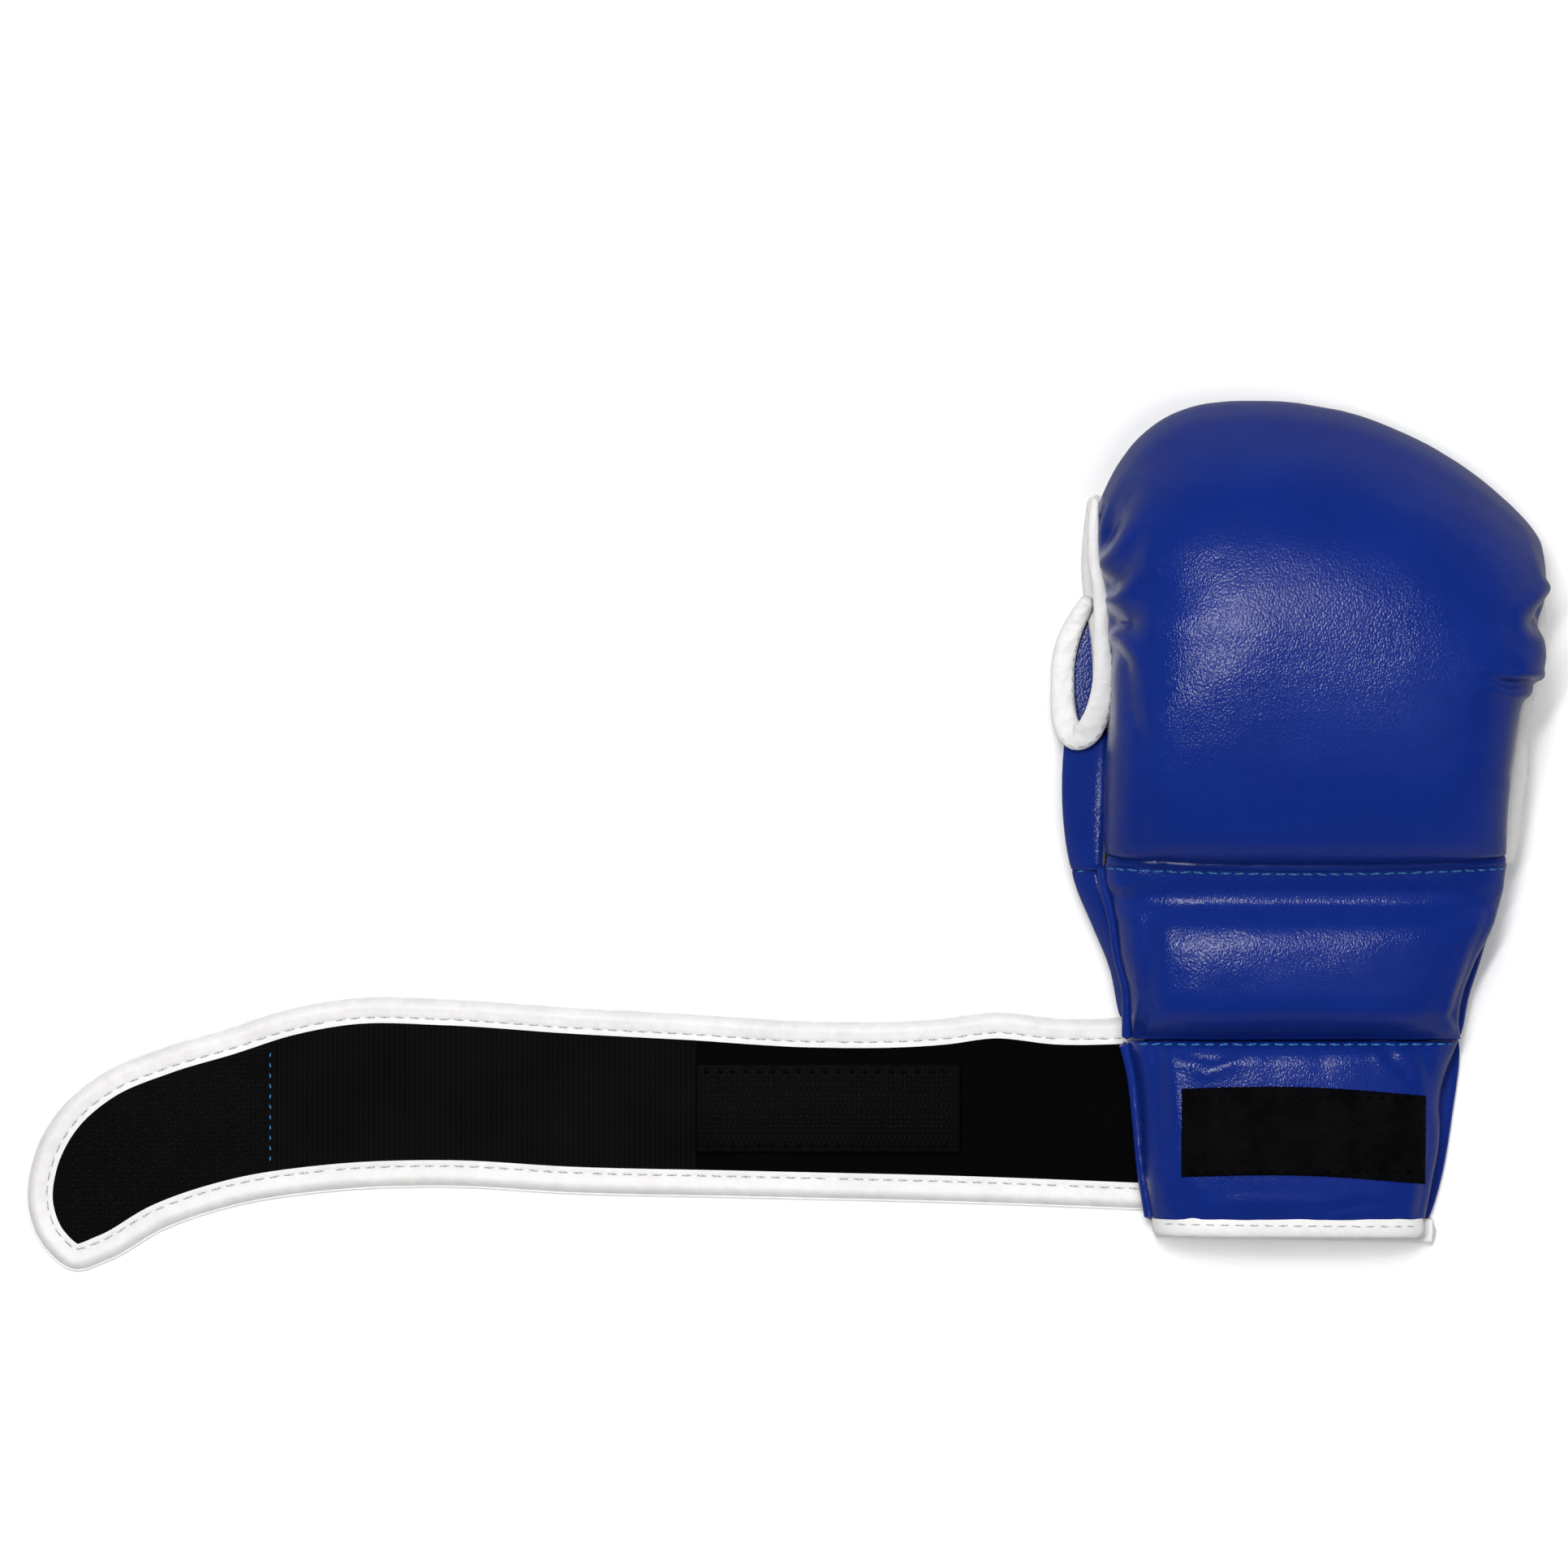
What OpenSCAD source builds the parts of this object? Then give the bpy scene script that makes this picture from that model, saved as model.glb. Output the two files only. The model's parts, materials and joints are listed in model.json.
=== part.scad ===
// Grappling and sparring glove for the right hand, lying palm down with its wrist strap open.
// +X points to the little-finger side, +Y to the fingertips and +Z up from the table.

/* [Glove lengths] */
// Cuff, from its hem to the wrist seam
cuff_length = 59; // [50:1:80]
// Hand back, from the wrist seam to the knuckle seam
hand_length = 51; // [42:1:65]
// Knuckle pad, from the knuckle seam to its tip
pad_length = 133.5; // [110:0.5:165]
// Distance from the strap's centre line to the wrist seam
seam_offset = 23.5; // [18:0.5:32]

/* [Glove widths, from the centre line] */
// Cuff mouth on the thumb side
mouth_thumb_reach = 42.5; // [34:0.5:52]
// Cuff mouth on the little-finger side
mouth_little_reach = 37.5; // [30:0.5:46]
// Wrist on the thumb side
wrist_thumb_reach = 48.5; // [40:0.5:54]
// Wrist on the little-finger side
wrist_little_reach = 46; // [38:0.5:55]
// Knuckle seam on the thumb side
seam_thumb_reach = 56; // [46:0.5:66]
// Knuckle seam on the little-finger side
seam_little_reach = 60; // [50:0.5:72]
// Widest part of the pad on the thumb side
pad_thumb_reach = 58; // [48:0.5:70]
// Widest part of the pad on the little-finger side
pad_little_reach = 72; // [60:0.5:86]
// How far the palm side of the cuff shows past its back
palm_layer_lip = 3; // [1:0.5:5]

/* [Heights above the table] */
// Top of the knuckle pad
pad_height = 61.5; // [50:0.5:75]
// Top of the finger room under the pad
finger_room = 31; // [28:0.5:36]
// Top of the hand back
hand_height = 35; // [30:0.5:42]
// Top of the cuff
cuff_height = 25; // [21:0.5:30]

/* [Layers] */
// Thickness of the lining
lining_t = 1; // [0.6:0.1:2]
// Thickness of the leather covers, on the top of a pad
cover_t = 1.4; // [1:0.1:2.5]
// Air between two layers, on the top of a pad
layer_gap = 0.2; // [0.1:0.05:0.4]
// Thickness of the palm-side panels
panel_t = 2.4; // [1.6:0.1:3.4]
// Radius of the piped seams
piping_r = 1.5; // [1:0.1:2.2]
// Width of the white binding tape, as sewn
binding_w = 8; // [6:0.5:11]

/* [Strap] */
// Strap from the cuff's edge to its tip
strap_length = 324; // [290:1:380]
// Width at the cuff
strap_w = 56; // [46:1:60]
// Thickness of the bound edge
strap_t = 3.6; // [2.8:0.1:5]
// Thickness of the outer face
strap_face_t = 1.2; // [0.8:0.1:1.6]
// Thickness of the inner face
strap_inner_t = 1.8; // [1:0.1:2]
// Length of the hook patch along the strap
hook_patch_length = 76.4; // [60:1:90]
// Width of the hook patch, and of the loop patch that it meets
patch_w = 25.5; // [18:0.5:32]
// Thickness of the hook patch
hook_t = 1.5; // [1:0.1:2]
// Length of the hook panel at the tip
tip_panel_length = 70; // [55:1:80]

/* [Finger loops] */
// Pitch of the four loops
loop_pitch = 23.4; // [22:0.2:25]
// Height of a loop
loop_height = 21; // [18:0.5:23]
// Length of a loop along the finger
loop_length = 16; // [10:1:22]
// Wall of a loop
loop_wall = 1.3; // [0.8:0.1:2]

/* [Stitching] */
// Pitch of the stitches
stitch_pitch = 4; // [3:0.25:6]
// Thickness of the thread
thread_d = 0.7; // [0.5:0.1:1.2]

/* [Hidden] */

leather_blue = "#1b2f8f";
binding_white = "#ecebe8";
fabric_black = "#0c0c0f";
foam_grey = "#8f9299";
thread_blue = "#4f86c6";

// Main stations along Y
wrist_y = seam_offset;
hem_y = wrist_y - cuff_length;
knuckle_y = wrist_y + hand_length;
tip_y = knuckle_y + pad_length;

// Strap folds, counted from the cuff: each takes a link of the strap round the next side of the cuff
fold_z = strap_t + 0.2;
wrap_clearance = 6.5;
wrap_thumb_x = wrist_thumb_reach + wrap_clearance;
wrap_little_x = wrist_little_reach + 9;
link_thumb = cuff_height - 1;
link_back = wrap_thumb_x + wrap_little_x;
link_little = link_thumb + 8;
link_palm = link_back + 5;
fold_x = [
    -wrap_thumb_x,
    -wrap_thumb_x - link_thumb,
    -wrap_thumb_x - link_thumb - link_back,
    -wrap_thumb_x - link_thumb - link_back - link_little,
    -wrap_thumb_x - link_thumb - link_back - link_little - link_palm
];
fold_gap = 0.3;

// Rounded-box exponent of every padded cross-section
arch_power = 3;
// Cells across and along a padded layer
cells_across = 16;
cells_along = 10;

function mix(a, b, t) = a + (b - a) * t;

// Point at parameter t, from 0 to 1, on a smooth curve through the points
function curve(p, t) =
    let (
        last = len(p) - 1, k = min(floor(t * last), last - 1), f = t * last - k,
        a = p[max(k - 1, 0)], b = p[k], c = p[k + 1], d = p[min(k + 2, last)]
    )
    (2 * b + (c - a) * f + (2 * a - 5 * b + 4 * c - d) * f * f + (3 * b - a - 3 * c + d) * f * f * f) / 2;

// Place across an arch, from -1 to 1, and height on it, from 0 to 1, for u from 0 to 1
function arch_across(u) =
    let (c = -cos(180 * u)) sign(c) * pow(abs(c), 2 / arch_power);
function arch_rise(u) = pow(max(sin(180 * u), 0), 2 / arch_power);

// Closed skin between two grids of points with the same rows and columns
module slab(lower, upper) {
    rows = len(lower);
    cols = len(lower[0]);
    function at(i, j, top) = i * cols + j + top * rows * cols;
    function quad(a, b, c, d) = [[a, b, c], [a, c, d]];
    polyhedron(
        points = concat([for (row = lower) each row], [for (row = upper) each row]),
        faces = concat(
            [for (i = [0:rows - 2], j = [0:cols - 2])
                each quad(at(i, j, 1), at(i + 1, j, 1), at(i + 1, j + 1, 1), at(i, j + 1, 1))],
            [for (i = [0:rows - 2], j = [0:cols - 2])
                each quad(at(i, j, 0), at(i, j + 1, 0), at(i + 1, j + 1, 0), at(i + 1, j, 0))],
            [for (j = [0:cols - 2]) each quad(at(0, j, 0), at(0, j, 1), at(0, j + 1, 1), at(0, j + 1, 0))],
            [for (j = [0:cols - 2], i = rows - 1)
                each quad(at(i, j + 1, 0), at(i, j + 1, 1), at(i, j, 1), at(i, j, 0))],
            [for (i = [0:rows - 2]) each quad(at(i + 1, 0, 0), at(i + 1, 0, 1), at(i, 0, 1), at(i, 0, 0))],
            [for (i = [0:rows - 2], j = cols - 1)
                each quad(at(i, j, 0), at(i, j, 1), at(i + 1, j, 1), at(i + 1, j, 0))]
        )
    );
}

// Rope of oval section along a path, which never runs along the side direction
module rope(path, r_side, r_up, side = [1, 0, 0], sides = 8) {
    last = len(path) - 1;
    function unit(v) = v / norm(v);
    function along(i) = unit(path[min(i + 1, last)] - path[max(i - 1, 0)]);
    function ring(i) =
        let (t = along(i), up = unit(cross(t, side)), out = cross(up, t))
        [for (k = [0:sides - 1], a = 360 * k / sides) path[i] + r_side * cos(a) * out + r_up * sin(a) * up];
    polyhedron(
        points = [for (i = [0:last]) each ring(i)],
        faces = concat(
            [[for (k = [sides - 1:-1:0]) k]],
            [for (i = [0:last - 1], k = [0:sides - 1])
                let (a = i * sides + k, b = i * sides + (k + 1) % sides)
                each [[a, b, b + sides], [a, b + sides, a + sides]]],
            [[for (k = [0:sides - 1]) last * sides + k]]
        )
    );
}

// Row of stitches along a path, each a short thread between neighbouring points
module stitches(path) {
    for (i = [0:2:len(path) - 2]) {
        step = path[i + 1] - path[i];
        flat = norm([step[0], step[1]]);
        translate(path[i]) rotate([0, atan2(flat, step[2]), atan2(step[1], step[0])])
            cylinder(d = thread_d, h = norm(step), $fn = 16);
    }
}

// Points for stitches of the right pitch along a curve given by a function of 0 to 1
function stitch_count(length) = 2 * floor(length / stitch_pitch);
function stitch_place(i, count) = (i - (i % 2) * 0.3 + 0.15) / count;

// ---- Cuff, a flattened tube that is open at the hem ----

cuff_edge_z = strap_t + 0.3;
cuff_room = 15.5;
// Outer and inner height of the cuff at its hem and at the wrist seam
hem_drop = 4.5;
// The wrist seam lies this share of the hand's height up
seam_height_share = 0.6143;
seam_drop = cuff_height - hand_height * seam_height_share;
cuff_wall = 4.5;

function cuff_t(y) = (y - hem_y) / cuff_length;
function cuff_top(y) = cuff_height - hem_drop * pow(1 - cuff_t(y), 3) - seam_drop * pow(cuff_t(y), 4);
function cuff_thumb(y) = -mix(mouth_thumb_reach, wrist_thumb_reach, cuff_t(y));
function cuff_little(y) = mix(mouth_little_reach, wrist_little_reach, cuff_t(y));

// Point on the cuff back: r is 0 on the inside of the wall and 1 on the outside
function cuff_point(u, y, r) =
    let (
        mid = (cuff_thumb(y) + cuff_little(y)) / 2,
        half = (cuff_little(y) - cuff_thumb(y)) / 2 - (1 - r) * cuff_wall,
        top = mix(cuff_room, cuff_top(y), r)
    )
    [mid + half * arch_across(u), y, mix(cuff_edge_z, top, arch_rise(u))];

function cuff_sheet(y0, y1, r, n) =
    [for (i = [0:n]) [for (j = [0:cells_across]) cuff_point(j / cells_across, mix(y0, y1, i / n), r)]];

module cuff_layer(r0, r1, y0, y1, n = 5) slab(cuff_sheet(y0, y1, r0, n), cuff_sheet(y0, y1, r1, n));

// Shares of the wall that its layers take, for a wall of the given thickness
function lining_share(wall) = lining_t / wall;
function cover_share(wall) = 1 - cover_t / wall;
function gap_share(wall) = layer_gap / wall;

cuff_wall_top = cuff_height - cuff_room;
hand_room = 20;
hand_wall_top = hand_height - hand_room;
pad_wall_top = pad_height - finger_room;
seam_gap = 0.5;
cuff_end_y = wrist_y - seam_gap / 2;
hem_inner_y = hem_y + binding_w;

module cuff_back_cover() {
    color(leather_blue)
        cuff_layer(cover_share(cuff_wall_top), 1, hem_inner_y, cuff_end_y);
}

module cuff_back_foam() {
    color(foam_grey)
        cuff_layer(
            lining_share(cuff_wall_top) + gap_share(cuff_wall_top),
            cover_share(cuff_wall_top) - gap_share(cuff_wall_top),
            hem_inner_y, cuff_end_y
        );
}

module cuff_lining() {
    color(fabric_black) cuff_layer(0, lining_share(cuff_wall_top), hem_inner_y, cuff_end_y);
}

module cuff_palm_outline(y0, y1) {
    steps = 4;
    ys = [for (i = [0:steps]) mix(y0, y1, i / steps)];
    thumb_line = [for (y = ys) [y < -strap_w / 2 ? cuff_thumb(y) : strap_start_x + 0.1, y]];
    little_line = [for (i = [steps:-1:0]) [cuff_little(ys[i]) + palm_layer_lip, ys[i]]];
    polygon(concat(thumb_line, little_line));
}

module cuff_palm_panel() {
    color(leather_blue) linear_extrude(strap_t) cuff_palm_outline(hem_inner_y, cuff_end_y);
}

module cuff_hem_binding_back() {
    color(binding_white) cuff_layer(0, 1, hem_y, hem_inner_y - 0.1, 3);
}

module cuff_hem_binding_palm() {
    color(binding_white) linear_extrude(strap_t) cuff_palm_outline(hem_y, hem_inner_y - 0.1);
}

// The piped seam lies on the strap, beside the edge of the cuff back
function cuff_piping_point(y) = [cuff_thumb(y) - piping_r - 0.2, y, cuff_edge_z + piping_r];

module cuff_thumb_piping() {
    count = 10;
    color(leather_blue)
        rope(
            [for (i = [0:count]) cuff_piping_point(mix(hem_inner_y, cuff_end_y, i / count))],
            piping_r, piping_r
        );
}

module wrist_seam_stitching() {
    row_y = wrist_y - 1.6;
    count = stitch_count(wrist_thumb_reach + wrist_little_reach - 14);
    path = [for (i = [0:count - 1])
        cuff_point(mix(0.2, 0.8, stitch_place(i, count)), row_y, 1) + [0, 0, thread_d * 0.6]];
    color(thread_blue) stitches(path);
}

// Loop patch, laid on the cuff back
patch_t = 1.8;
patch_lift = 0.35;
patch_thumb_x = -33.6;
patch_little_x = 36.9;
patch_little_trim = 2;
patch_y = -3.5;

// Height of the cuff back above a point of the table
function cuff_height_at(x, y) =
    let (mid = (cuff_thumb(y) + cuff_little(y)) / 2, half = (cuff_little(y) - cuff_thumb(y)) / 2,
        e = min(abs(x - mid) / half, 1))
    mix(cuff_edge_z, cuff_top(y), pow(1 - pow(e, arch_power), 1 / arch_power));

patch_x0 = patch_thumb_x;
patch_x1 = min(patch_little_x, cuff_little(patch_y) - patch_little_trim);

function patch_sheet(lift) =
    [for (i = [0:4]) [for (j = [0:14])
        let (x = mix(patch_x0, patch_x1, j / 14), y = patch_y + (i / 4 - 0.5) * patch_w)
        [x, y, cuff_height_at(x, y) + lift]]];

module loop_patch() {
    color(fabric_black) slab(patch_sheet(patch_lift), patch_sheet(patch_lift + patch_t));
}

function patch_rim(lift, inset) =
    let (nx = stitch_count(patch_x1 - patch_x0), ny = stitch_count(patch_w))
    [for (side = [-1, 1]) [for (i = [0:nx - 1])
        let (x = mix(patch_x0 + inset, patch_x1 - inset, stitch_place(i, nx)),
            y = patch_y + side * (patch_w / 2 - inset))
        [x, y, cuff_height_at(x, y) + lift]]];

module loop_patch_stitching() {
    rows = patch_rim(patch_lift + patch_t + thread_d * 0.55, 2.2);
    color(fabric_black) for (row = rows) stitches(row);
}

// ---- Hand back, from the wrist seam to the knuckle seam ----

hand_edge_wrist_z = 8;
hand_edge_knuckle_z = 14;
hand_start_y = wrist_y + seam_gap / 2;
hand_end_y = knuckle_y - 1.2;
hand_wall = 5;
// Room below the wrist seam, so that the hand can bend down: at the side edges and at the lining
wrist_relief = 4;
lining_relief = 1.8;
// Height of the hand back's outer skin along its length, as a share of its full height
hand_profile = [0.61, 0.73, 0.86, 0.965, 1, 0.985, 0.93, 0.92, 0.985];
// Height of the lining below it, as a share of the hand room
hand_lining_profile = [0.7, 0.85, 0.97, 1, 1, 1, 1, 1.02, 1.05];

function hand_thumb(t) = -mix(wrist_thumb_reach, seam_thumb_reach, t);
function hand_little(t) = mix(wrist_little_reach, seam_little_reach, t);

// Point on the hand back: t runs from the wrist seam to the knuckle seam, r as on the cuff
function hand_point(u, t, r) =
    let (
        mid = (hand_thumb(t) + hand_little(t)) / 2,
        half = (hand_little(t) - hand_thumb(t)) / 2 - (1 - r) * hand_wall,
        top = mix(hand_room * curve(hand_lining_profile, t), hand_height * curve(hand_profile, t), r),
        rise = arch_rise(u),
        relief = (1 - t) * mix(wrist_relief, lining_relief * (1 - r), rise)
    )
    [
        mid + half * arch_across(u),
        mix(hand_start_y, hand_end_y, t) + relief,
        mix(mix(hand_edge_wrist_z, hand_edge_knuckle_z, t), top, rise)
    ];

function hand_sheet(r) =
    [for (i = [0:cells_along])
        [for (j = [0:cells_across]) hand_point(j / cells_across, i / cells_along, r)]];

module hand_layer(r0, r1) slab(hand_sheet(r0), hand_sheet(r1));

module hand_back_cover() {
    color(leather_blue) hand_layer(cover_share(hand_wall_top), 1);
}

module hand_back_foam() {
    color(foam_grey)
        hand_layer(
            lining_share(hand_wall_top) + gap_share(hand_wall_top),
            cover_share(hand_wall_top) - gap_share(hand_wall_top)
        );
}

module hand_lining() {
    color(fabric_black) hand_layer(0, lining_share(hand_wall_top));
}

palm_heel_start = wrist_y + 14.5;
palm_heel_end = wrist_y + 36;

module palm_heel_panel() {
    t0 = (palm_heel_start - wrist_y) / hand_length;
    t1 = (palm_heel_end - wrist_y) / hand_length;
    color(leather_blue) linear_extrude(panel_t)
        polygon([
            [hand_thumb(t0), palm_heel_start], [hand_thumb(t1), palm_heel_end],
            [hand_little(t1), palm_heel_end], [hand_little(t0), palm_heel_start]
        ]);
}

module hand_thumb_piping() {
    count = 10;
    path = [for (i = [0:count])
        hand_point(0, mix(0.12, 1, i / count), 1) + [-piping_r - 0.2, -0.5, piping_r]];
    color(leather_blue) rope(path, piping_r, piping_r);
}

// Side wall between two lines: an outer and an inner one, each a list of [x, y]
module side_wall(outer, inner, z0, z1, steps = 8) {
    function line(p, z) = [for (i = [0:steps]) [curve(p, i / steps)[0], curve(p, i / steps)[1], z]];
    function sheet(z) = [for (i = [0:steps]) [line(outer, z)[i], line(inner, z)[i]]];
    slab(sheet(z0), sheet(z1));
}

gusset_low_z = 0.2;
gusset_high_z = 7.6;
thumb_gusset_gap = 1;
little_gusset_gap = 0.5;
// Clear of the strap, with room to bend down
thumb_gusset_start = 0.245;
little_gusset_start = 0.12;
gusset_end = 0.96;

// The gusset leaves the piped seam at the wrist and stands out furthest at the knuckle seam
module thumb_side_gusset() {
    places = [[thumb_gusset_start, 1.8], [0.41, 1.9], [0.65, 6.4], [gusset_end, 8.2]];
    inner = [for (p = places) [hand_thumb(p[0]) - thumb_gusset_gap, wrist_y + hand_length * p[0]]];
    outer = [for (i = [0:len(places) - 1]) inner[i] - [places[i][1], 0]];
    color(leather_blue) side_wall(outer, inner, gusset_low_z, gusset_high_z);
}

module little_side_gusset() {
    places = [[little_gusset_start, 1.4], [0.37, 1.7], [0.7, 2.1], [gusset_end, 2.4]];
    inner = [for (p = places) [hand_little(p[0]) + little_gusset_gap, wrist_y + hand_length * p[0]]];
    outer = [for (i = [0:len(places) - 1]) inner[i] + [places[i][1], 0]];
    color(binding_white) side_wall(outer, inner, gusset_low_z, gusset_high_z);
}

// Lip of the pad's leather, sewn down along the knuckle seam
welt_r = 1.1;
welt_span = 0.1;

module seam_welt() {
    count = 18;
    path = [for (i = [0:count])
        let (p = hand_point(mix(welt_span, 1 - welt_span, i / count), 1, 1))
        [p[0], knuckle_y, p[2] - 1.6]];
    color(leather_blue) rope(path, welt_r * 0.9, welt_r, side = [0, 1, 0]);
}

module welt_stitching() {
    count = stitch_count(seam_thumb_reach + seam_little_reach - 12);
    row_t = 0.93;
    path = [for (i = [0:count - 1])
        hand_point(mix(0.16, 0.84, stitch_place(i, count)), row_t, 1) + [0, 0, thread_d * 0.6]];
    color(thread_blue) stitches(path);
}

// ---- Knuckle pad, an arch over the fingers whose front rolls down to the table ----

pad_wall = 6;
pad_start_y = knuckle_y + 1.6;
knuckle_relief = 4;
// Profiles along the pad as [share of its length, share of its height]
pad_outer_profile = [
    [0, 0.56], [0.035, 0.71], [0.12, 0.865], [0.26, 0.96], [0.41, 1], [0.56, 0.985],
    [0.71, 0.9], [0.83, 0.76], [0.92, 0.58], [0.98, 0.38], [1, 0.2], [0.975, 0.08]
];
pad_inner_profile = [
    [0, 0.38], [0.035, 0.41], [0.12, 0.455], [0.26, 0.49], [0.41, 0.5], [0.54, 0.49],
    [0.655, 0.445], [0.745, 0.36], [0.81, 0.25], [0.855, 0.17], [0.885, 0.1], [0.91, 0.055]
];
pad_edge_profile = [
    [0, 0.27], [0.05, 0.27], [0.13, 0.28], [0.26, 0.29], [0.39, 0.29], [0.52, 0.29],
    [0.65, 0.28], [0.76, 0.25], [0.84, 0.2], [0.89, 0.15], [0.925, 0.11], [0.94, 0.065]
];
// The front of the pad falls back on both sides of its tip
tip_across = -0.25;
thumb_front_drop = 28;
little_front_drop = 37;

function front_drop(e) =
    e < tip_across
    ? thumb_front_drop * pow((tip_across - e) / (1 + tip_across), 3.5)
    : little_front_drop * pow((e - tip_across) / (1 - tip_across), 2);

function ease(t) = t * t * (3 - 2 * t);
function pad_thumb(t) = -mix(seam_thumb_reach, pad_thumb_reach, ease(t));
function pad_little(t) = mix(seam_little_reach, pad_little_reach, ease(min(max((t - 0.1) / 0.4, 0), 1)));

// Point on the pad: t runs from the knuckle seam round to the underside of the tip
function pad_point(u, t, r) =
    let (
        e = arch_across(u),
        rise = arch_rise(u),
        mid = (pad_thumb(t) + pad_little(t)) / 2,
        half = (pad_little(t) - pad_thumb(t)) / 2 - (1 - r) * pad_wall,
        outer = curve(pad_outer_profile, t),
        inner = curve(pad_inner_profile, t) * [[1, 0], [0, finger_room / pad_height * 2]],
        edge = curve(pad_edge_profile, t) - (1 - r) * t * [0.03, 0],
        centre = mix(inner, outer, r),
        place = mix(edge, centre, rise),
        depth = pad_length - front_drop(e)
    )
    [
        mid + half * e,
        pad_start_y + place[0] * depth + knuckle_relief * (1 - rise) * (1 - t),
        place[1] * pad_height
    ];

pad_cells = 16;

function pad_sheet(r) =
    [for (i = [0:pad_cells]) [for (j = [0:cells_across]) pad_point(j / cells_across, i / pad_cells, r)]];

module pad_layer(r0, r1) slab(pad_sheet(r0), pad_sheet(r1));

foam_split = 0.52;

module knuckle_pad_cover() {
    color(leather_blue) pad_layer(cover_share(pad_wall_top), 1);
}

module knuckle_foam_outer() {
    gap = gap_share(pad_wall_top);
    color(foam_grey) pad_layer(foam_split + gap, cover_share(pad_wall_top) - gap);
}

module knuckle_foam_inner() {
    color("#b9bcc2") pad_layer(lining_share(pad_wall_top) + gap_share(pad_wall_top), foam_split);
}

module knuckle_lining() {
    color(fabric_black) pad_layer(0, lining_share(pad_wall_top));
}

// Tape round the thumb-side edge of the pad
edge_tape_r = 2.6;

module thumb_edge_binding() {
    count = 14;
    path = [for (i = [0:count])
        let (p = pad_point(0, mix(0.2, 0.78, i / count), 1)) p + [-1.2, 0, -edge_tape_r - 0.4]];
    color(binding_white) rope(path, edge_tape_r * 1.3, edge_tape_r);
}

// White side piece between the pad and the palm side
module little_edge_gusset() {
    reach = pad_little_reach;
    seam = seam_little_reach;
    edge_length = pad_length - front_drop(1);
    // Shares of the pad's length at that edge, with the outer and the inner edge at each
    places = [
        [0.1347, seam + 5, seam - 1], [0.2902, seam + 6.5, seam], [0.4974, reach - 3, reach - 8],
        [0.6425, reach, reach - 6], [0.8497, reach - 0.5, reach - 5]
    ];
    outer = [for (p = places) [p[1], knuckle_y + p[0] * edge_length]];
    inner = [for (p = places) [p[2], knuckle_y + p[0] * edge_length]];
    color(binding_white) side_wall(outer, inner, panel_t + 0.3, 12.5);
}

module thumb_base_gusset() {
    outer = [
        [-seam_thumb_reach - 8.5, knuckle_y + 9], [-seam_thumb_reach - 10.5, knuckle_y + 20],
        [-seam_thumb_reach - 9.8, knuckle_y + 30]
    ];
    inner = [
        [-seam_thumb_reach + 1, knuckle_y + 9], [-seam_thumb_reach + 1, knuckle_y + 20],
        [-seam_thumb_reach + 1, knuckle_y + 30]
    ];
    color(leather_blue) side_wall(outer, inner, 3, 12);
}

// ---- Palm side of the fingers ----

finger_panel_start = knuckle_y + 42;
finger_tape_w = 5;

module finger_panel_outline(inset) {
    steps = 12;
    front = [for (j = [0:steps])
        let (p = pad_point(j / steps, 1, 0)) [p[0] * 0.97, p[1] - inset]];
    polygon(concat(
        [[-pad_thumb_reach + inset, finger_panel_start]],
        front,
        [[pad_little_reach - inset, finger_panel_start + 20], [seam_little_reach + 2, finger_panel_start]]
    ));
}

module finger_palm_panel() {
    color(leather_blue) linear_extrude(panel_t) finger_panel_outline(2);
}

module finger_panel_binding() {
    near_y = finger_panel_start - finger_tape_w;
    far_y = finger_panel_start - 0.1;
    thumb_x = -pad_thumb_reach + 2;
    color(binding_white) linear_extrude(panel_t)
        polygon([
            [thumb_x, near_y], [thumb_x, far_y],
            [seam_little_reach + 2, far_y], [seam_little_reach, near_y]
        ]);
}

finger_loop_y = finger_panel_start + 4;
finger_loop_mid_x = 3;

// One loop: a round-cornered sleeve for the finger of the given place, counted from the thumb side
module finger_loop(place) {
    outer_w = loop_pitch - 0.4;
    corner = 8;
    x = finger_loop_mid_x + (place - 1.5) * loop_pitch;
    color(fabric_black)
        translate([x, finger_loop_y + loop_length, panel_t + 0.1 + loop_height / 2]) rotate([90, 0, 0])
        linear_extrude(loop_length) difference() {
            rounded_box(outer_w, loop_height, corner);
            rounded_box(outer_w - 2 * loop_wall, loop_height - 2 * loop_wall, corner - loop_wall);
        }
}

module rounded_box(w, h, r) {
    square([w - 2 * r, h], center = true);
    square([w, h - 2 * r], center = true);
    for (x = [-1, 1], y = [-1, 1])
        translate([x * (w / 2 - r), y * (h / 2 - r)]) circle(r, $fn = 32);
}

module finger_loop_index() finger_loop(0);
module finger_loop_middle() finger_loop(1);
module finger_loop_ring() finger_loop(2);
module finger_loop_little() finger_loop(3);

// ---- Thumb loop, hinged on the line through its two ends ----

thumb_loop_x = -60;
thumb_loop_start = knuckle_y + 33;
thumb_loop_end = knuckle_y + 76;
thumb_loop_bulge = 8;
loop_tape_side_r = 3;
loop_tape_up_r = 2.4;

function thumb_loop_point(s) =
    let (reach = pow(sin(180 * pow(s, 0.85)), 0.7))
    [thumb_loop_x - thumb_loop_bulge * reach, mix(thumb_loop_start, thumb_loop_end, s)];

// The same line, moved in from the tape by a distance
function thumb_loop_inside(s, inset) =
    let (d = thumb_loop_point(s + 0.01) - thumb_loop_point(s - 0.01))
    thumb_loop_point(s) + inset * [d[1], -d[0]] / norm(d);

module thumb_loop_binding() {
    count = 14;
    path = [for (i = [0:count]) concat(thumb_loop_point(i / count), loop_tape_up_r + 0.1)];
    color(binding_white) rope(path, loop_tape_side_r, loop_tape_up_r);
}

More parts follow.
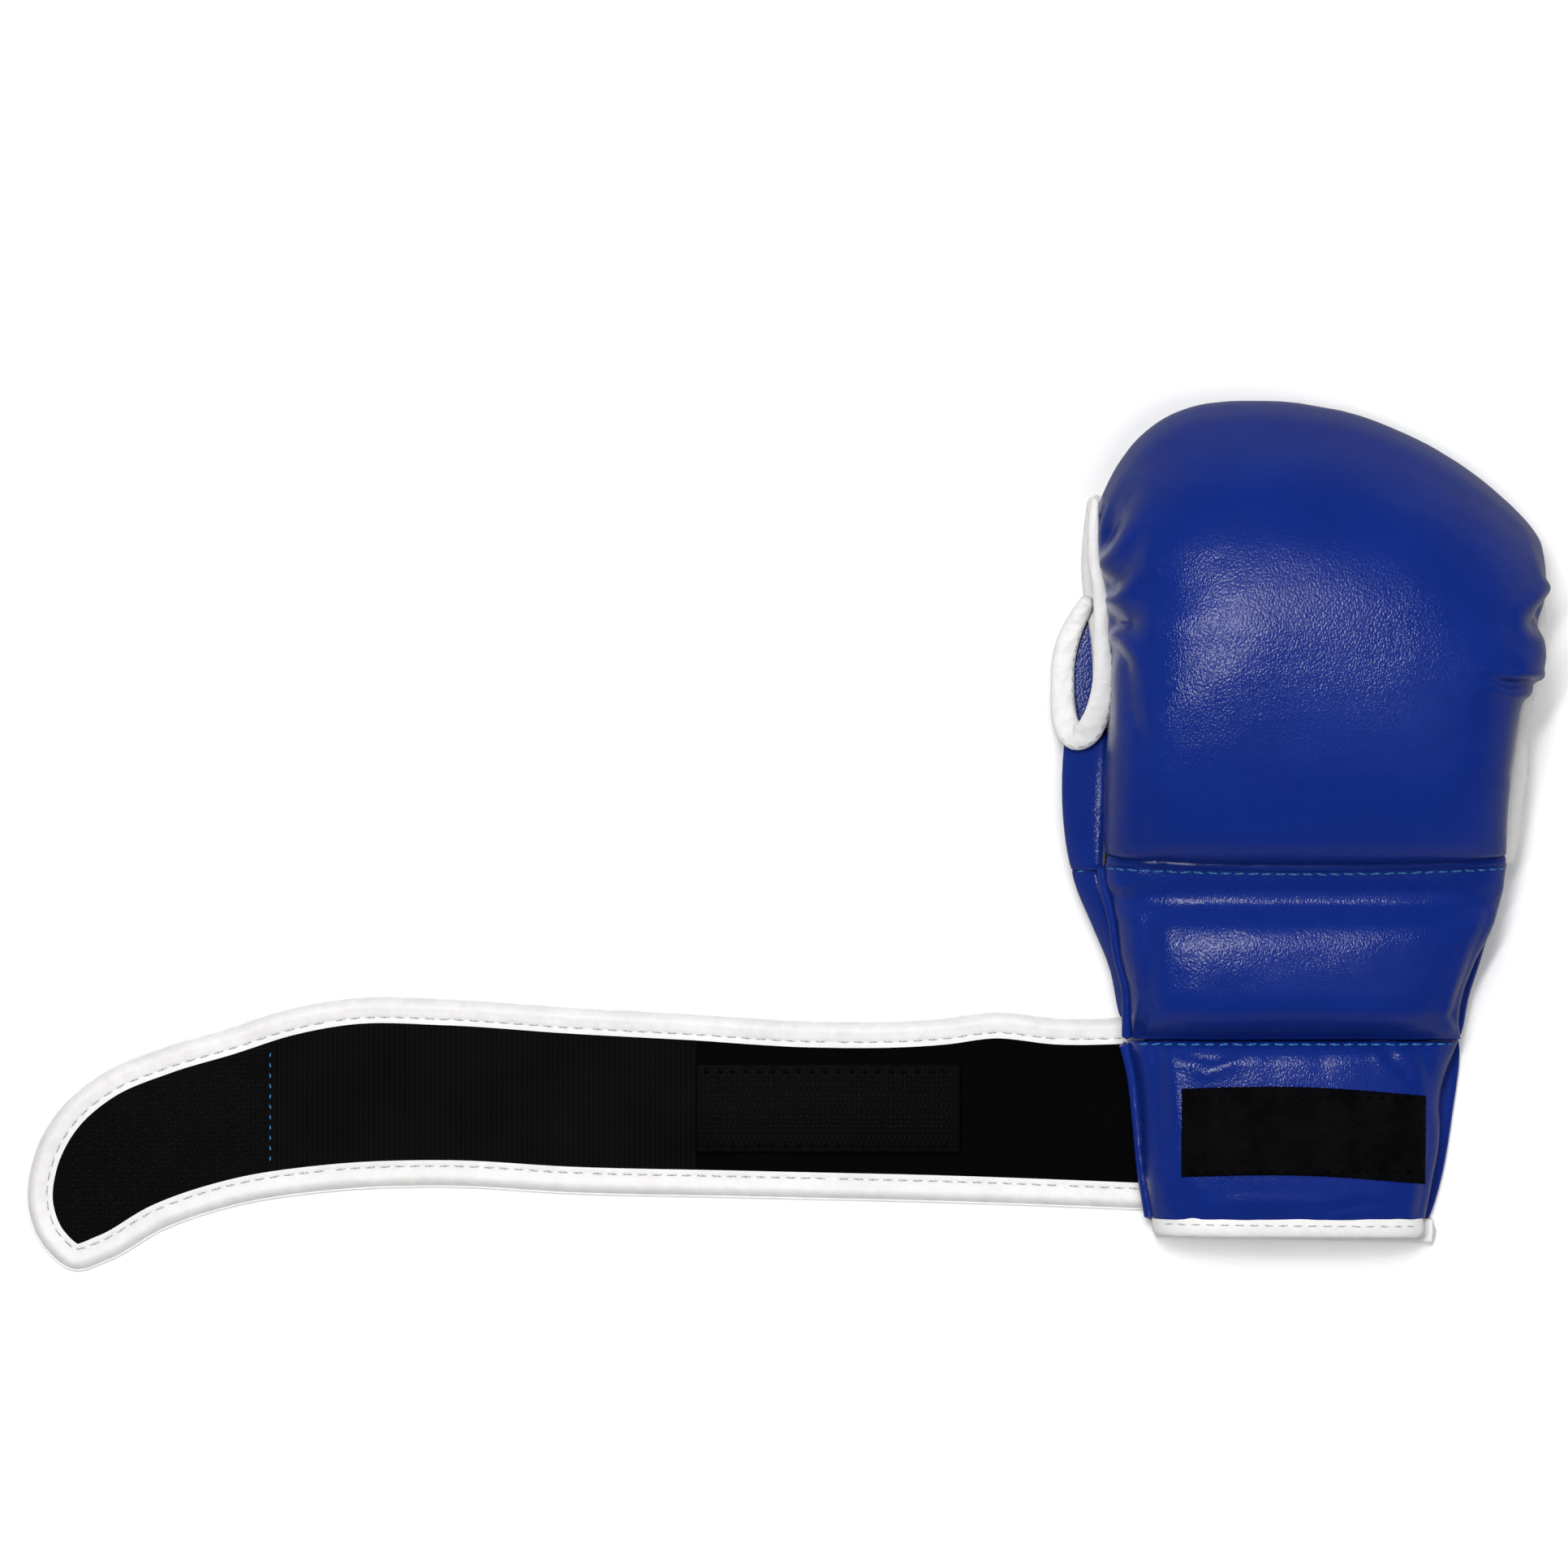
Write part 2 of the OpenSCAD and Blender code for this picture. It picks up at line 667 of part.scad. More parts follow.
module thumb_loop_panel() {
    count = 12;
    inner_x = thumb_loop_x + 1.6;
    outer = [for (i = [0:count]) thumb_loop_inside(mix(0.1, 0.9, i / count), loop_tape_side_r + 0.4)];
    color(leather_blue) linear_extrude(panel_t)
        polygon(concat(outer, [[inner_x, outer[count][1]], [inner_x, outer[0][1]]]));
}

// ---- Strap: a bound band in six sections that the folds divide ----

// Edge points as [share of the length, share of the width], from the root along the top and back
strap_line = [
    [0, 0.5], [0.149, 0.496], [0.297, 0.479], [0.405, 0.516], [0.513, 0.55], [0.624, 0.593], [0.71, 0.596],
    [0.769, 0.534], [0.877, 0.341], [0.935, 0.195], [0.978, -0.016], [0.9985, -0.36], [0.991, -0.7],
    [0.96, -0.818], [0.929, -0.761], [0.877, -0.604], [0.812, -0.479], [0.732, -0.407], [0.624, -0.384],
    [0.513, -0.416], [0.368, -0.436], [0.153, -0.466], [0, -0.5]
];
strap_mid_y = 2.1;
// How far the strap starts in under the cuff's edge
strap_tuck = 2.72;
strap_start_x = cuff_thumb(strap_mid_y) + strap_tuck;

function strap_place(p) = [strap_start_x - p[0] * strap_length, strap_mid_y + p[1] * strap_w];
strap_steps = 3 * (len(strap_line) - 1);
strap_edge = [for (i = [0:strap_steps]) strap_place(curve(strap_line, i / strap_steps))];

// The same edge, moved in by a distance
function moved_in(p, d) =
    [for (i = [0:len(p) - 1])
        let (a = p[max(i - 1, 0)], b = p[min(i + 1, len(p) - 1)], t = (b - a) / norm(b - a))
        p[i] + d * [-t[1], t[0]]];

strap_inner_edge = moved_in(strap_edge, binding_w);

module strap_window(x0, x1) {
    reach = 2 * strap_w;
    translate([x0, -reach]) square([x1 - x0, 2 * reach]);
}

module strap_panel(x0, x1, z0, t) {
    translate([0, 0, z0]) linear_extrude(t) intersection() {
        polygon(strap_inner_edge);
        strap_window(x0, x1);
    }
}

module strap_binding(x0, x1) {
    color(binding_white) linear_extrude(strap_t) intersection() {
        difference() {
            polygon(strap_edge);
            polygon(strap_inner_edge);
        }
        strap_window(x0, x1);
    }
}

// Ends of a section: 0 is the root, 5 the tip
function section_far(n) = n > 4 ? strap_start_x - strap_length - 5 : fold_x[n] + fold_gap / 2;
function section_near(n) = n < 1 ? strap_start_x : fold_x[n - 1] - fold_gap / 2;
tip_panel_x = strap_start_x - strap_length + tip_panel_length;

module strap_face(n)
    color(binding_white) strap_panel(section_far(n), section_near(n), 0, strap_face_t);
module strap_inner(n)
    color(fabric_black) strap_panel(section_far(n), section_near(n), strap_face_t, strap_inner_t);

module strap_root_face() strap_face(0);
module strap_root_inner() strap_inner(0);
module strap_root_binding() strap_binding(section_far(0), section_near(0));
module strap_thumb_side_face() strap_face(1);
module strap_thumb_side_inner() strap_inner(1);
module strap_thumb_side_binding() strap_binding(section_far(1), section_near(1));
module strap_back_face() strap_face(2);
module strap_back_inner() strap_inner(2);
module strap_back_binding() strap_binding(section_far(2), section_near(2));
module strap_little_side_face() strap_face(3);
module strap_little_side_elastic() strap_inner(3);
module strap_little_side_binding() strap_binding(section_far(3), section_near(3));
module strap_palm_face() strap_face(4);
module strap_palm_binding() strap_binding(section_far(4), section_near(4));
module strap_tip_face() strap_face(5);
module strap_tip_binding() strap_binding(section_far(5), section_near(5));

module strap_palm_elastic() {
    color(fabric_black) strap_panel(tip_panel_x + 0.1, section_near(4), strap_face_t, strap_inner_t);
}

tip_hook_t = strap_t - strap_face_t - 0.1;

module strap_palm_hook_panel() {
    color(fabric_black) strap_panel(section_far(4), tip_panel_x, strap_face_t, tip_hook_t);
}

module strap_tip_hook_panel() {
    color(fabric_black) strap_panel(section_far(5), section_near(5), strap_face_t, tip_hook_t);
}

// The hook patch lies so that it meets the loop patch when the strap is wrapped
hook_near_x = fold_x[1] - (wrap_thumb_x + patch_thumb_x) + 3.6;
hook_y = patch_y + 7;
hook_z = strap_face_t + strap_inner_t;

module hook_patch() {
    color(fabric_black) translate([hook_near_x - hook_patch_length, hook_y - patch_w / 2, hook_z])
        cube([hook_patch_length, patch_w, hook_t]);
}

module hook_patch_stitching() {
    inset = 2;
    count = stitch_count(hook_patch_length);
    row_length = hook_patch_length - 2 * inset;
    z = hook_z + hook_t + thread_d * 0.55;
    color(fabric_black) for (side = [-1, 1])
        stitches([for (i = [0:count - 1])
            [hook_near_x - inset - row_length * (1 - stitch_place(i, count)),
                hook_y + side * (patch_w / 2 - inset), z]]);
}

module tip_panel_stitching() {
    reach = strap_w - 2 * binding_w - 6;
    count = stitch_count(reach);
    x = tip_panel_x - 1.5;
    row_start_y = strap_mid_y - 1.5 - reach / 2;
    z = strap_t + thread_d * 0.5;
    color(thread_blue)
        stitches([for (i = [0:count - 1]) [x, row_start_y + reach * stitch_place(i, count), z]]);
}

cuff_back_cover();
cuff_back_foam();
cuff_lining();
cuff_palm_panel();
cuff_thumb_piping();
cuff_hem_binding_back();
cuff_hem_binding_palm();
wrist_seam_stitching();
loop_patch();
loop_patch_stitching();
strap_root_face();
strap_root_inner();
strap_root_binding();
hand_back_cover();
hand_back_foam();
hand_lining();
palm_heel_panel();
hand_thumb_piping();
thumb_side_gusset();
little_side_gusset();
seam_welt();
welt_stitching();
knuckle_pad_cover();
knuckle_foam_outer();
knuckle_foam_inner();
knuckle_lining();
thumb_edge_binding();
little_edge_gusset();
thumb_base_gusset();
finger_palm_panel();
finger_panel_binding();
finger_loop_index();
finger_loop_middle();
finger_loop_ring();
finger_loop_little();
thumb_loop_panel();
thumb_loop_binding();
strap_thumb_side_face();
strap_thumb_side_inner();
strap_thumb_side_binding();
strap_back_face();
strap_back_inner();
strap_back_binding();
hook_patch();
hook_patch_stitching();
strap_little_side_face();
strap_little_side_elastic();
strap_little_side_binding();
strap_palm_face();
strap_palm_elastic();
strap_palm_binding();
strap_palm_hook_panel();
strap_tip_face();
strap_tip_hook_panel();
strap_tip_binding();
tip_panel_stitching();
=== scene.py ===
import json
import math

import bpy
import numpy as np
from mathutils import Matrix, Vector


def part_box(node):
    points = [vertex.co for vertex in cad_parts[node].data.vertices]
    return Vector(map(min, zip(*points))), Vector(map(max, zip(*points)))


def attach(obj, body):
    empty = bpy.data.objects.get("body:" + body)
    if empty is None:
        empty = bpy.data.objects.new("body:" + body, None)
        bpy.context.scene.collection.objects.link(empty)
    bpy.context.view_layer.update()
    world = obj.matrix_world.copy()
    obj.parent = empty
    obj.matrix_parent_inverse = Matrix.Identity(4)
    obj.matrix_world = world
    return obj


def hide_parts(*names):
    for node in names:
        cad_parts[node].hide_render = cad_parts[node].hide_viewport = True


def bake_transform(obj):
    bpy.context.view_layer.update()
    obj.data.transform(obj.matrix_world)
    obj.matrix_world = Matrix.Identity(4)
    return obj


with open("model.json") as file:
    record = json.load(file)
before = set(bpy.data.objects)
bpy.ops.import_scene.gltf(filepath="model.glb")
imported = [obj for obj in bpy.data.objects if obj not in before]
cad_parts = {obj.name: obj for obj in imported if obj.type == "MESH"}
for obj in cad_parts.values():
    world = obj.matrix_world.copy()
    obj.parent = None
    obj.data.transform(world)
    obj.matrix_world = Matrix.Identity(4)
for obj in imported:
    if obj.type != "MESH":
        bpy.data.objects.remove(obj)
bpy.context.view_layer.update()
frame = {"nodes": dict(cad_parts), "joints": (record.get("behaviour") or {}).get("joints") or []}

# The shapes below are in millimetres and go into the meshes in metres.
mm = 0.001
rng = np.random.default_rng(7)


def nodeBox(node):
    low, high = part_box(node)
    return np.array(low) / mm, np.array(high) / mm


hinge = {joint["name"]: np.array(joint["pos_m"]) / mm for joint in frame["joints"]}
padLow, padHigh = nodeBox("knuckle_pad_cover")
wristY = hinge["wrist_flex"][1]
knuckleY = hinge["knuckle_curl"][1] - 1
foldX = [hinge[f"strap_fold_{n}"][0] for n in range(1, 6)]
strapBodies = ["cuff", "strap_thumb_side", "strap_back", "strap_little_side", "strap_palm", "strap_tip"]


def bendAtWrist(piece):
    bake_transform(piece)


def bendAtKnuckles(piece):
    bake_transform(piece)


def bendAtThumbHole(piece):
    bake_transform(piece)


# Small tools

def mix(a, b, t):
    return a + (b - a) * t


def ease(t):
    t = np.clip(t, 0, 1)
    return t * t * (3 - 2 * t)


def through(x, points):
    # smooth value at x of a line through (x, value) points
    xs, ys = np.array(points, float).T
    slope = np.gradient(ys, xs)
    x = np.clip(np.asarray(x, float), xs[0], xs[-1])
    k = np.clip(np.searchsorted(xs, x, side="right") - 1, 0, len(xs) - 2)
    step = xs[k + 1] - xs[k]
    t = (x - xs[k]) / step
    return ((2 * t**3 - 3 * t**2 + 1) * ys[k] + (t**3 - 2 * t**2 + t) * step * slope[k]
            + (3 * t**2 - 2 * t**3) * ys[k + 1] + (t**3 - t**2) * step * slope[k + 1])


def lengthsAlong(path):
    return np.r_[0, np.cumsum(np.linalg.norm(np.diff(path, axis=0), axis=1))]


def evenPath(points, step):
    # smooth path through the points, in even steps of about the given length
    points = np.array(points, float)
    along = lengthsAlong(points)
    fine = np.linspace(0, along[-1], 40 * len(points))
    dense = np.stack([through(fine, list(zip(along, points[:, k]))) for k in range(points.shape[1])], 1)
    run = lengthsAlong(dense)
    count = max(int(round(run[-1] / step)), 2)
    return np.stack([np.interp(np.linspace(0, run[-1], count + 1), run, dense[:, k])
                     for k in range(points.shape[1])], 1)


def ripple(p, size, seed=0):
    # soft value noise from a few turned waves, about -1 to 1
    total = 0
    for k in range(6):
        a = seed * 1.7 + k * 2.4
        w = np.array([math.cos(a), math.sin(a),
                      math.cos(a * 1.3) * 0.6]) * (1 + 0.35 * k) * 2 * math.pi / size
        total = total + np.sin(p @ w + a * 3.1) / (1 + 0.4 * k)
    return total / 3


def deselectAll():
    if bpy.context.mode != "OBJECT":
        bpy.ops.object.mode_set(mode="OBJECT")
    bpy.ops.object.select_all(action="DESELECT")


def pick(piece):
    deselectAll()
    piece.select_set(True)
    bpy.context.view_layer.objects.active = piece


def pointsOf(piece):
    co = np.empty(len(piece.data.vertices) * 3)
    piece.data.vertices.foreach_get("co", co)
    return co.reshape(-1, 3) / mm


def setPoints(piece, points):
    piece.data.vertices.foreach_set("co", (np.asarray(points) * mm).ravel())
    piece.data.update()


def normalsOf(piece):
    n = np.empty(len(piece.data.vertices) * 3)
    piece.data.vertices.foreach_get("normal", n)
    return n.reshape(-1, 3)


def editMesh(piece, *steps):
    # runs edit-mode operators on the whole mesh
    pick(piece)
    bpy.ops.object.mode_set(mode="EDIT")
    bpy.ops.mesh.select_all(action="SELECT")
    for step in steps:
        step()
    bpy.ops.object.mode_set(mode="OBJECT")


def fillEnds():
    bpy.ops.mesh.select_all(action="DESELECT")
    bpy.ops.mesh.select_non_manifold(extend=False, use_wire=False, use_multi_face=False,
                                     use_non_contiguous=False, use_verts=False)
    bpy.ops.mesh.fill_holes(sides=0)
    bpy.ops.mesh.select_all(action="SELECT")


def smoothShade(piece, angle=50):
    pick(piece)
    bpy.ops.object.shade_smooth_by_angle(angle=math.radians(angle))


def gridPiece(name, across, along, place):
    # a flat grid whose points are laid out by place(u, v), with u and v from 0 to 1
    deselectAll()
    bpy.ops.mesh.primitive_grid_add(x_subdivisions=across, y_subdivisions=along, size=1, location=(0, 0, 0))
    piece = bpy.context.object
    piece.name = piece.data.name = name
    co = pointsOf(piece) * mm
    setPoints(piece, place(co[:, 0] + 0.5, co[:, 1] + 0.5))
    return piece


def tubePiece(name, around, along, place, capped=True):
    # a grid rolled up across, so that u 0 and u 1 meet
    piece = gridPiece(name, around, along, place)
    editMesh(piece, lambda: bpy.ops.mesh.remove_doubles(threshold=0.00002),
             fillEnds if capped else lambda: None,
             lambda: bpy.ops.mesh.normals_make_consistent(inside=False))
    smoothShade(piece)
    return piece


def roundSection(u, power):
    # once round a soft-cornered oval: plain cosine and sine, then the same with the corners filled out
    c, s = np.cos(2 * np.pi * u), np.sin(2 * np.pi * u)
    return c, s, np.sign(c) * np.abs(c) ** (2 / power), np.sign(s) * np.abs(s) ** (2 / power)


def archAcross(u, power=3.0):
    c = -np.cos(np.pi * u)
    return np.sign(c) * np.abs(c) ** (2 / power)


def archRise(u, power=3.0):
    return np.abs(np.sin(np.pi * u)) ** (2 / power)


def stuffedPiece(name, around, along, skinPoint, hang=2.0):
    # closed pad: skinPoint(u, v, 1) is its outer skin and skinPoint(u, v, 0) its inner one
    def outer(u, v):
        return skinPoint(u, v, 1)

    def inner(u, v):
        return skinPoint(u, v, 0)

    def place(w, v):
        top, side = 0.62, 0.05
        u = np.clip(w / top, 0, 1)
        back = np.clip((w - top - side) / (1 - top - 2 * side), 0, 1)
        out = outer(u, v)
        inn = inner(1 - back, v)
        farSide = np.clip((w - top) / side, 0, 1)[:, None]
        nearSide = np.clip((w - 1 + side) / side, 0, 1)[:, None]
        edgeFar = mix(outer(np.ones_like(v), v), inner(np.ones_like(v), v), farSide)
        edgeNear = mix(inner(np.zeros_like(v), v), outer(np.zeros_like(v), v), nearSide)
        edgeFar[:, 2] -= hang * np.sin(np.pi * farSide[:, 0])
        edgeNear[:, 2] -= hang * np.sin(np.pi * nearSide[:, 0])
        points = np.where((w <= top)[:, None], out, inn)
        points = np.where(((w > top) & (w < top + side))[:, None], edgeFar, points)
        return np.where((w > 1 - side)[:, None], edgeNear, points)
    return tubePiece(name, around, along, place)


def frameAlong(path, side):
    # unit tangent, across and up directions along a path; with no side given, the tape stays level
    tangent = np.gradient(path, axis=0)
    tangent /= np.linalg.norm(tangent, axis=1)[:, None]
    if side is None:
        side = np.cross([0, 0, 1], tangent)
    side = np.broadcast_to(np.array(side, float), tangent.shape)
    up = np.cross(tangent, side)
    up /= np.linalg.norm(up, axis=1)[:, None]
    across = np.cross(up, tangent)
    return tangent, across, up


def tapePiece(name, path, halfWidth, halfThick, side, around=20, power=2.6, crease=0.0, seed=1, taper=0.0,
              creaseSize=6):
    # bound edge: a soft flattened tube along a path, creased across where it is gathered
    path = np.array(path, float)
    rows = len(path) - 1
    tangent, across, up = frameAlong(path, side)
    width = np.broadcast_to(halfWidth, (len(path),)).astype(float)
    thick = np.broadcast_to(halfThick, (len(path),)).astype(float)
    run = lengthsAlong(path)
    creases = np.broadcast_to(crease, (len(path),)).astype(float)

    def place(u, v):
        k = np.rint(v * rows).astype(int)
        c, s, ca, sa = roundSection(u, power)
        ends = np.ones_like(u)
        if taper:
            ends = np.clip(np.minimum(run[k], run[-1] - run[k]) / taper, 0, 1) ** 0.5 * 0.999 + 0.001
        flow = np.stack([run[k] + 1.2 * c, 2.4 * c + seed, 0.8 * s], 1)
        swell = 1 + creases[k] * ripple(flow, creaseSize, seed)
        return (path[k] + across[k] * (ca * width[k] * ends)[:, None]
                + up[k] * (sa * thick[k] * ends * swell)[:, None])
    return tubePiece(name, around, rows, place)


def applyModifier(piece, kind, **settings):
    pick(piece)
    modifier = piece.modifiers.new(kind.title(), kind)
    for key, value in settings.items():
        setattr(modifier, key, value)
    bpy.ops.object.modifier_apply(modifier=modifier.name)


def listedPiece(name, verts, polys):
    # a mesh from lists of points in mm and of faces
    mesh = bpy.data.meshes.new(name)
    mesh.from_pydata((np.concatenate(verts) * mm).tolist(), [], polys)
    piece = bpy.data.objects.new(name, mesh)
    bpy.context.scene.collection.objects.link(piece)
    return piece


def stitchRow(name, path, pitch, length, thick, side=(1, 0, 0), sink=0.25, wander=0.25):
    # thread laid in short raised stitches along a path that lies on the surface
    deselectAll()
    bpy.ops.mesh.primitive_uv_sphere_add(segments=8, ring_count=6, radius=0.5, location=(0, 0, 0))
    model = bpy.context.object
    ball = pointsOf(model) * mm
    faces = [tuple(p.vertices) for p in model.data.polygons]
    bpy.data.objects.remove(model, do_unlink=True)
    path = np.array(path, float)
    run = lengthsAlong(path)
    at = lambda s: np.array([np.interp(s, run, path[:, k]) for k in range(3)])
    verts, polys = [], []
    count = int(run[-1] / pitch)
    start = (run[-1] - (count - 1) * pitch - length) / 2
    for k in range(count):
        a, b = at(start + k * pitch), at(start + k * pitch + length)
        if np.linalg.norm(b - a) < 0.5 * length or np.linalg.norm(b - a) > 1.5 * length:
            continue
        t = (b - a) / np.linalg.norm(b - a)
        up = np.cross(t, np.array(side, float))
        up /= np.linalg.norm(up)
        up = up if up[2] >= 0 else -up
        out = np.cross(t, up)
        tilt = wander * rng.uniform(-1, 1)
        p = ball * [length, thick, thick]
        p[:, 2] -= 0.16 * thick * (2 * ball[:, 0]) ** 2 * 2
        p[:, 1] += tilt * ball[:, 0]
        polys += [tuple(i + len(verts) * len(ball) for i in f) for f in faces]
        verts.append((a + b) / 2 + p[:, :1] * t + p[:, 1:2] * out + (p[:, 2:] + thick * sink) * up)
    piece = listedPiece(name, verts, polys)
    smoothShade(piece, 80)
    return piece


# Materials

class Wire:
    # a node output that adds its own Math nodes when it is used in a sum
    def __init__(self, look, socket):
        self.look = look
        self.socket = socket

    def calc(self, operation, a, b):
        return self.look.node("ShaderNodeMath", {"operation": operation}, {0: a, 1: b})

    def __add__(self, other): return self.calc("ADD", self, other)
    def __radd__(self, other): return self.calc("ADD", other, self)
    def __sub__(self, other): return self.calc("SUBTRACT", self, other)
    def __rsub__(self, other): return self.calc("SUBTRACT", other, self)
    def __mul__(self, other): return self.calc("MULTIPLY", self, other)
    def __rmul__(self, other): return self.calc("MULTIPLY", other, self)
    def __pow__(self, other): return self.calc("POWER", self, other)


class Look:
    # a material on the Principled shader, wired from one method
    def __init__(self, name, **sockets):
        self.material = bpy.data.materials.new(name)
        self.material.use_nodes = True
        self.nodes = self.material.node_tree.nodes
        self.links = self.material.node_tree.links
        self.shader = self.nodes["Principled BSDF"]
        for key, value in sockets.items():
            self.set(key.replace("_", " "), value)

    def set(self, socketName, value):
        socket = self.shader.inputs[socketName]
        if isinstance(value, Wire):
            self.links.new(value.socket, socket)
        else:
            socket.default_value = (*value, 1) if isinstance(value, tuple) and len(value) == 3 else value

    def node(self, kind, settings, inputs, output=0):
        node = self.nodes.new(kind)
        for key, value in settings.items():
            setattr(node, key, value)
        for key, value in inputs.items():
            if isinstance(value, Wire):
                self.links.new(value.socket, node.inputs[key])
            else:
                node.inputs[key].default_value = value
        return Wire(self, node.outputs[output])

    def place(self, scale=(1, 1, 1), turn=(0, 0, 0), uv=False):
        coords = self.node("ShaderNodeTexCoord", {}, {}, "UV" if uv else "Object")
        return self.node("ShaderNodeMapping", {}, {"Vector": coords, "Scale": scale, "Rotation": turn})

    def noise(self, where, scale, detail=3.0, roughness=0.55):
        return self.node("ShaderNodeTexNoise", {}, {"Vector": where, "Scale": scale, "Detail": detail,
                                                    "Roughness": roughness})

    def cells(self, where, scale, feature="F1", randomness=1.0, output=0):
        return self.node("ShaderNodeTexVoronoi", {"feature": feature},
                         {"Vector": where, "Scale": scale, "Randomness": randomness}, output)

    def range(self, value, low, high, toLow=0.0, toHigh=1.0):
        return self.node("ShaderNodeMapRange", {"clamp": True},
                         {"Value": value, "From Min": low, "From Max": high, "To Min": toLow,
                          "To Max": toHigh})

    def tint(self, factor, dark, light):
        return self.node("ShaderNodeMix", {"data_type": "RGBA"},
                         {0: factor, 6: (*dark, 1), 7: (*light, 1)}, 2)

    def bump(self, height, strength, distance, normal=None):
        inputs = {"Height": height, "Strength": strength, "Distance": distance * mm}
        if normal is not None:
            inputs["Normal"] = normal
        return self.node("ShaderNodeBump", {}, inputs)


def leatherLook(name, dark, light, grain=1.0, rough=(0.20, 0.26), pebble=0.55, crinkle=0.0):
    # fine-grained coated leather: pebbles, pores between them and slow waves
    look = Look(name, Specular_IOR_Level=0.28)
    where = look.place()
    pebbles = look.cells(look.place(scale=(1, 0.7, 1)), 2000 / grain, "SMOOTH_F1")
    pores = look.noise(where, 2300 / grain, 2.0, 0.6)
    patches = look.noise(where, 38, 3.0, 0.6)
    drift = look.noise(where, 150, 2.0, 0.5)
    fine = look.bump(pebbles * -1.0 + pores * 0.3, pebble, 0.2)
    soft = look.bump(drift, 0.035, 0.8, fine)
    if crinkle:
        soft = look.bump(look.noise(look.place(scale=(1, 1, 0.6)), 420, 4.0, 0.62), crinkle, 0.6, soft)
    look.set("Base Color", look.tint(look.range(patches + pores * 0.35, 0.35, 0.95), dark, light))
    look.set("Roughness", look.range(pores * 0.6 + patches * 0.4, 0.3, 0.7, *rough))
    look.set("Normal", soft)
    return look.material


def tapeLook(name, dark, light):
    look = Look(name, Specular_IOR_Level=0.45)
    where = look.place()
    wrinkles = look.noise(look.place(scale=(1, 1, 1)), 260, 4.0, 0.65)
    pores = look.cells(where, 1500, "SMOOTH_F1")
    cloud = look.noise(where, 60, 2.0, 0.5)
    look.set("Base Color", look.tint(look.range(wrinkles * 0.6 + cloud * 0.4, 0.36, 0.62), dark, light))
    look.set("Roughness", look.range(wrinkles, 0.35, 0.65, 0.42, 0.6))
    look.set("Normal", look.bump(pores, 0.16, 0.15, look.bump(wrinkles, 0.22, 0.4)))
    return look.material


def clothLook(name, dark, light, threads=1900, rib=0.0, rough=0.85):
    # woven black cloth; rib is the pitch in mm of an elastic's ribs across the strap
    look = Look(name, Specular_IOR_Level=0.06)
    where = look.place()
    weave = {"Vector": where, "Scale": threads / 6.283, "Distortion": 0.4, "Detail": 1.0}
    warp = look.node("ShaderNodeTexWave", {"bands_direction": "X"}, weave)
    weft = look.node("ShaderNodeTexWave", {"bands_direction": "Y"}, weave)
    fuzz = look.noise(where, 900, 3.0, 0.6)
    cloud = look.noise(where, 45, 3.0, 0.6)
    height = warp * weft + fuzz * 0.4
    normal = look.bump(height, 0.35, 0.25)
    tone = cloud * 0.6 + fuzz * 0.4
    if rib:
        ribs = look.node("ShaderNodeTexWave", {"bands_direction": "X"},
                         {"Vector": where, "Scale": 1000 / rib / 6.283, "Distortion": 0.15, "Detail": 1.0})
        normal = look.bump(ribs, 0.3, 0.25, normal)
        tone = tone * 0.8 + ribs * 0.2
    look.set("Base Color", look.tint(look.range(tone, 0.3, 0.75), dark, light))
    look.set("Roughness", look.range(fuzz, 0.3, 0.7, rough - 0.08, min(rough + 0.1, 1)))
    look.set("Normal", normal)
    return look.material


def napLook(name, dark, light):
    # velvety loop pile, with painted glints on a few fibres in the base colour
    look = Look(name, Specular_IOR_Level=0.06, Roughness=0.95)
    where = look.place()
    tufts = look.cells(where, 1300, "F1")
    fuzz = look.noise(where, 2400, 4.0, 0.7)
    cloud = look.noise(where, 90, 3.0, 0.6)
    # painted glints: a few specks lightened in the base colour
    paintedGlints = look.range(look.noise(where, 3800, 1.0, 0.5), 0.74, 0.8, 0, 0.5)
    look.set("Base Color",
             look.tint(look.range(fuzz * 0.5 + cloud * 0.5, 0.35, 0.7) * 0.6 + paintedGlints, dark, light))
    look.set("Normal", look.bump(tufts * 0.7 + fuzz * 0.6, 0.8, 0.5))
    return look.material


def threadLook(name, dark, light, gloss=0.35):
    look = Look(name, Specular_IOR_Level=gloss, Roughness=0.6)
    twist = look.node("ShaderNodeTexWave", {"bands_direction": "DIAGONAL"},
                      {"Vector": look.place(), "Scale": 420, "Distortion": 0.3, "Detail": 1.0})
    fuzz = look.noise(look.place(), 1800, 2.0, 0.5)
    look.set("Base Color", look.tint(look.range(twist * 0.6 + fuzz * 0.4, 0.2, 0.8), dark, light))
    look.set("Normal", look.bump(twist, 0.5, 0.2))
    return look.material


blueLeather = leatherLook("blueLeather", (0.0045, 0.0180, 0.165), (0.0060, 0.0225, 0.195))
pipingLeather = leatherLook("pipingLeather", (0.0048, 0.019, 0.170), (0.0066, 0.025, 0.21), pebble=0.12,
                            crinkle=0.12)
whiteTape = tapeLook("whiteTape", (0.72, 0.71, 0.705), (0.82, 0.81, 0.805))
strapLeather = leatherLook("strapLeather", (0.74, 0.73, 0.72), (0.86, 0.855, 0.85), pebble=0.12)
plainBlack = clothLook("plainBlack", (0.0007, 0.0005, 0.0008), (0.0016, 0.0014, 0.0018), 2600)
ribbedBlack = clothLook("ribbedBlack", (0.0018, 0.0018, 0.0021), (0.0050, 0.0050, 0.0058), 2600, rib=0.75)
liningBlack = clothLook("liningBlack", (0.004, 0.004, 0.005), (0.012, 0.012, 0.015), 1700)
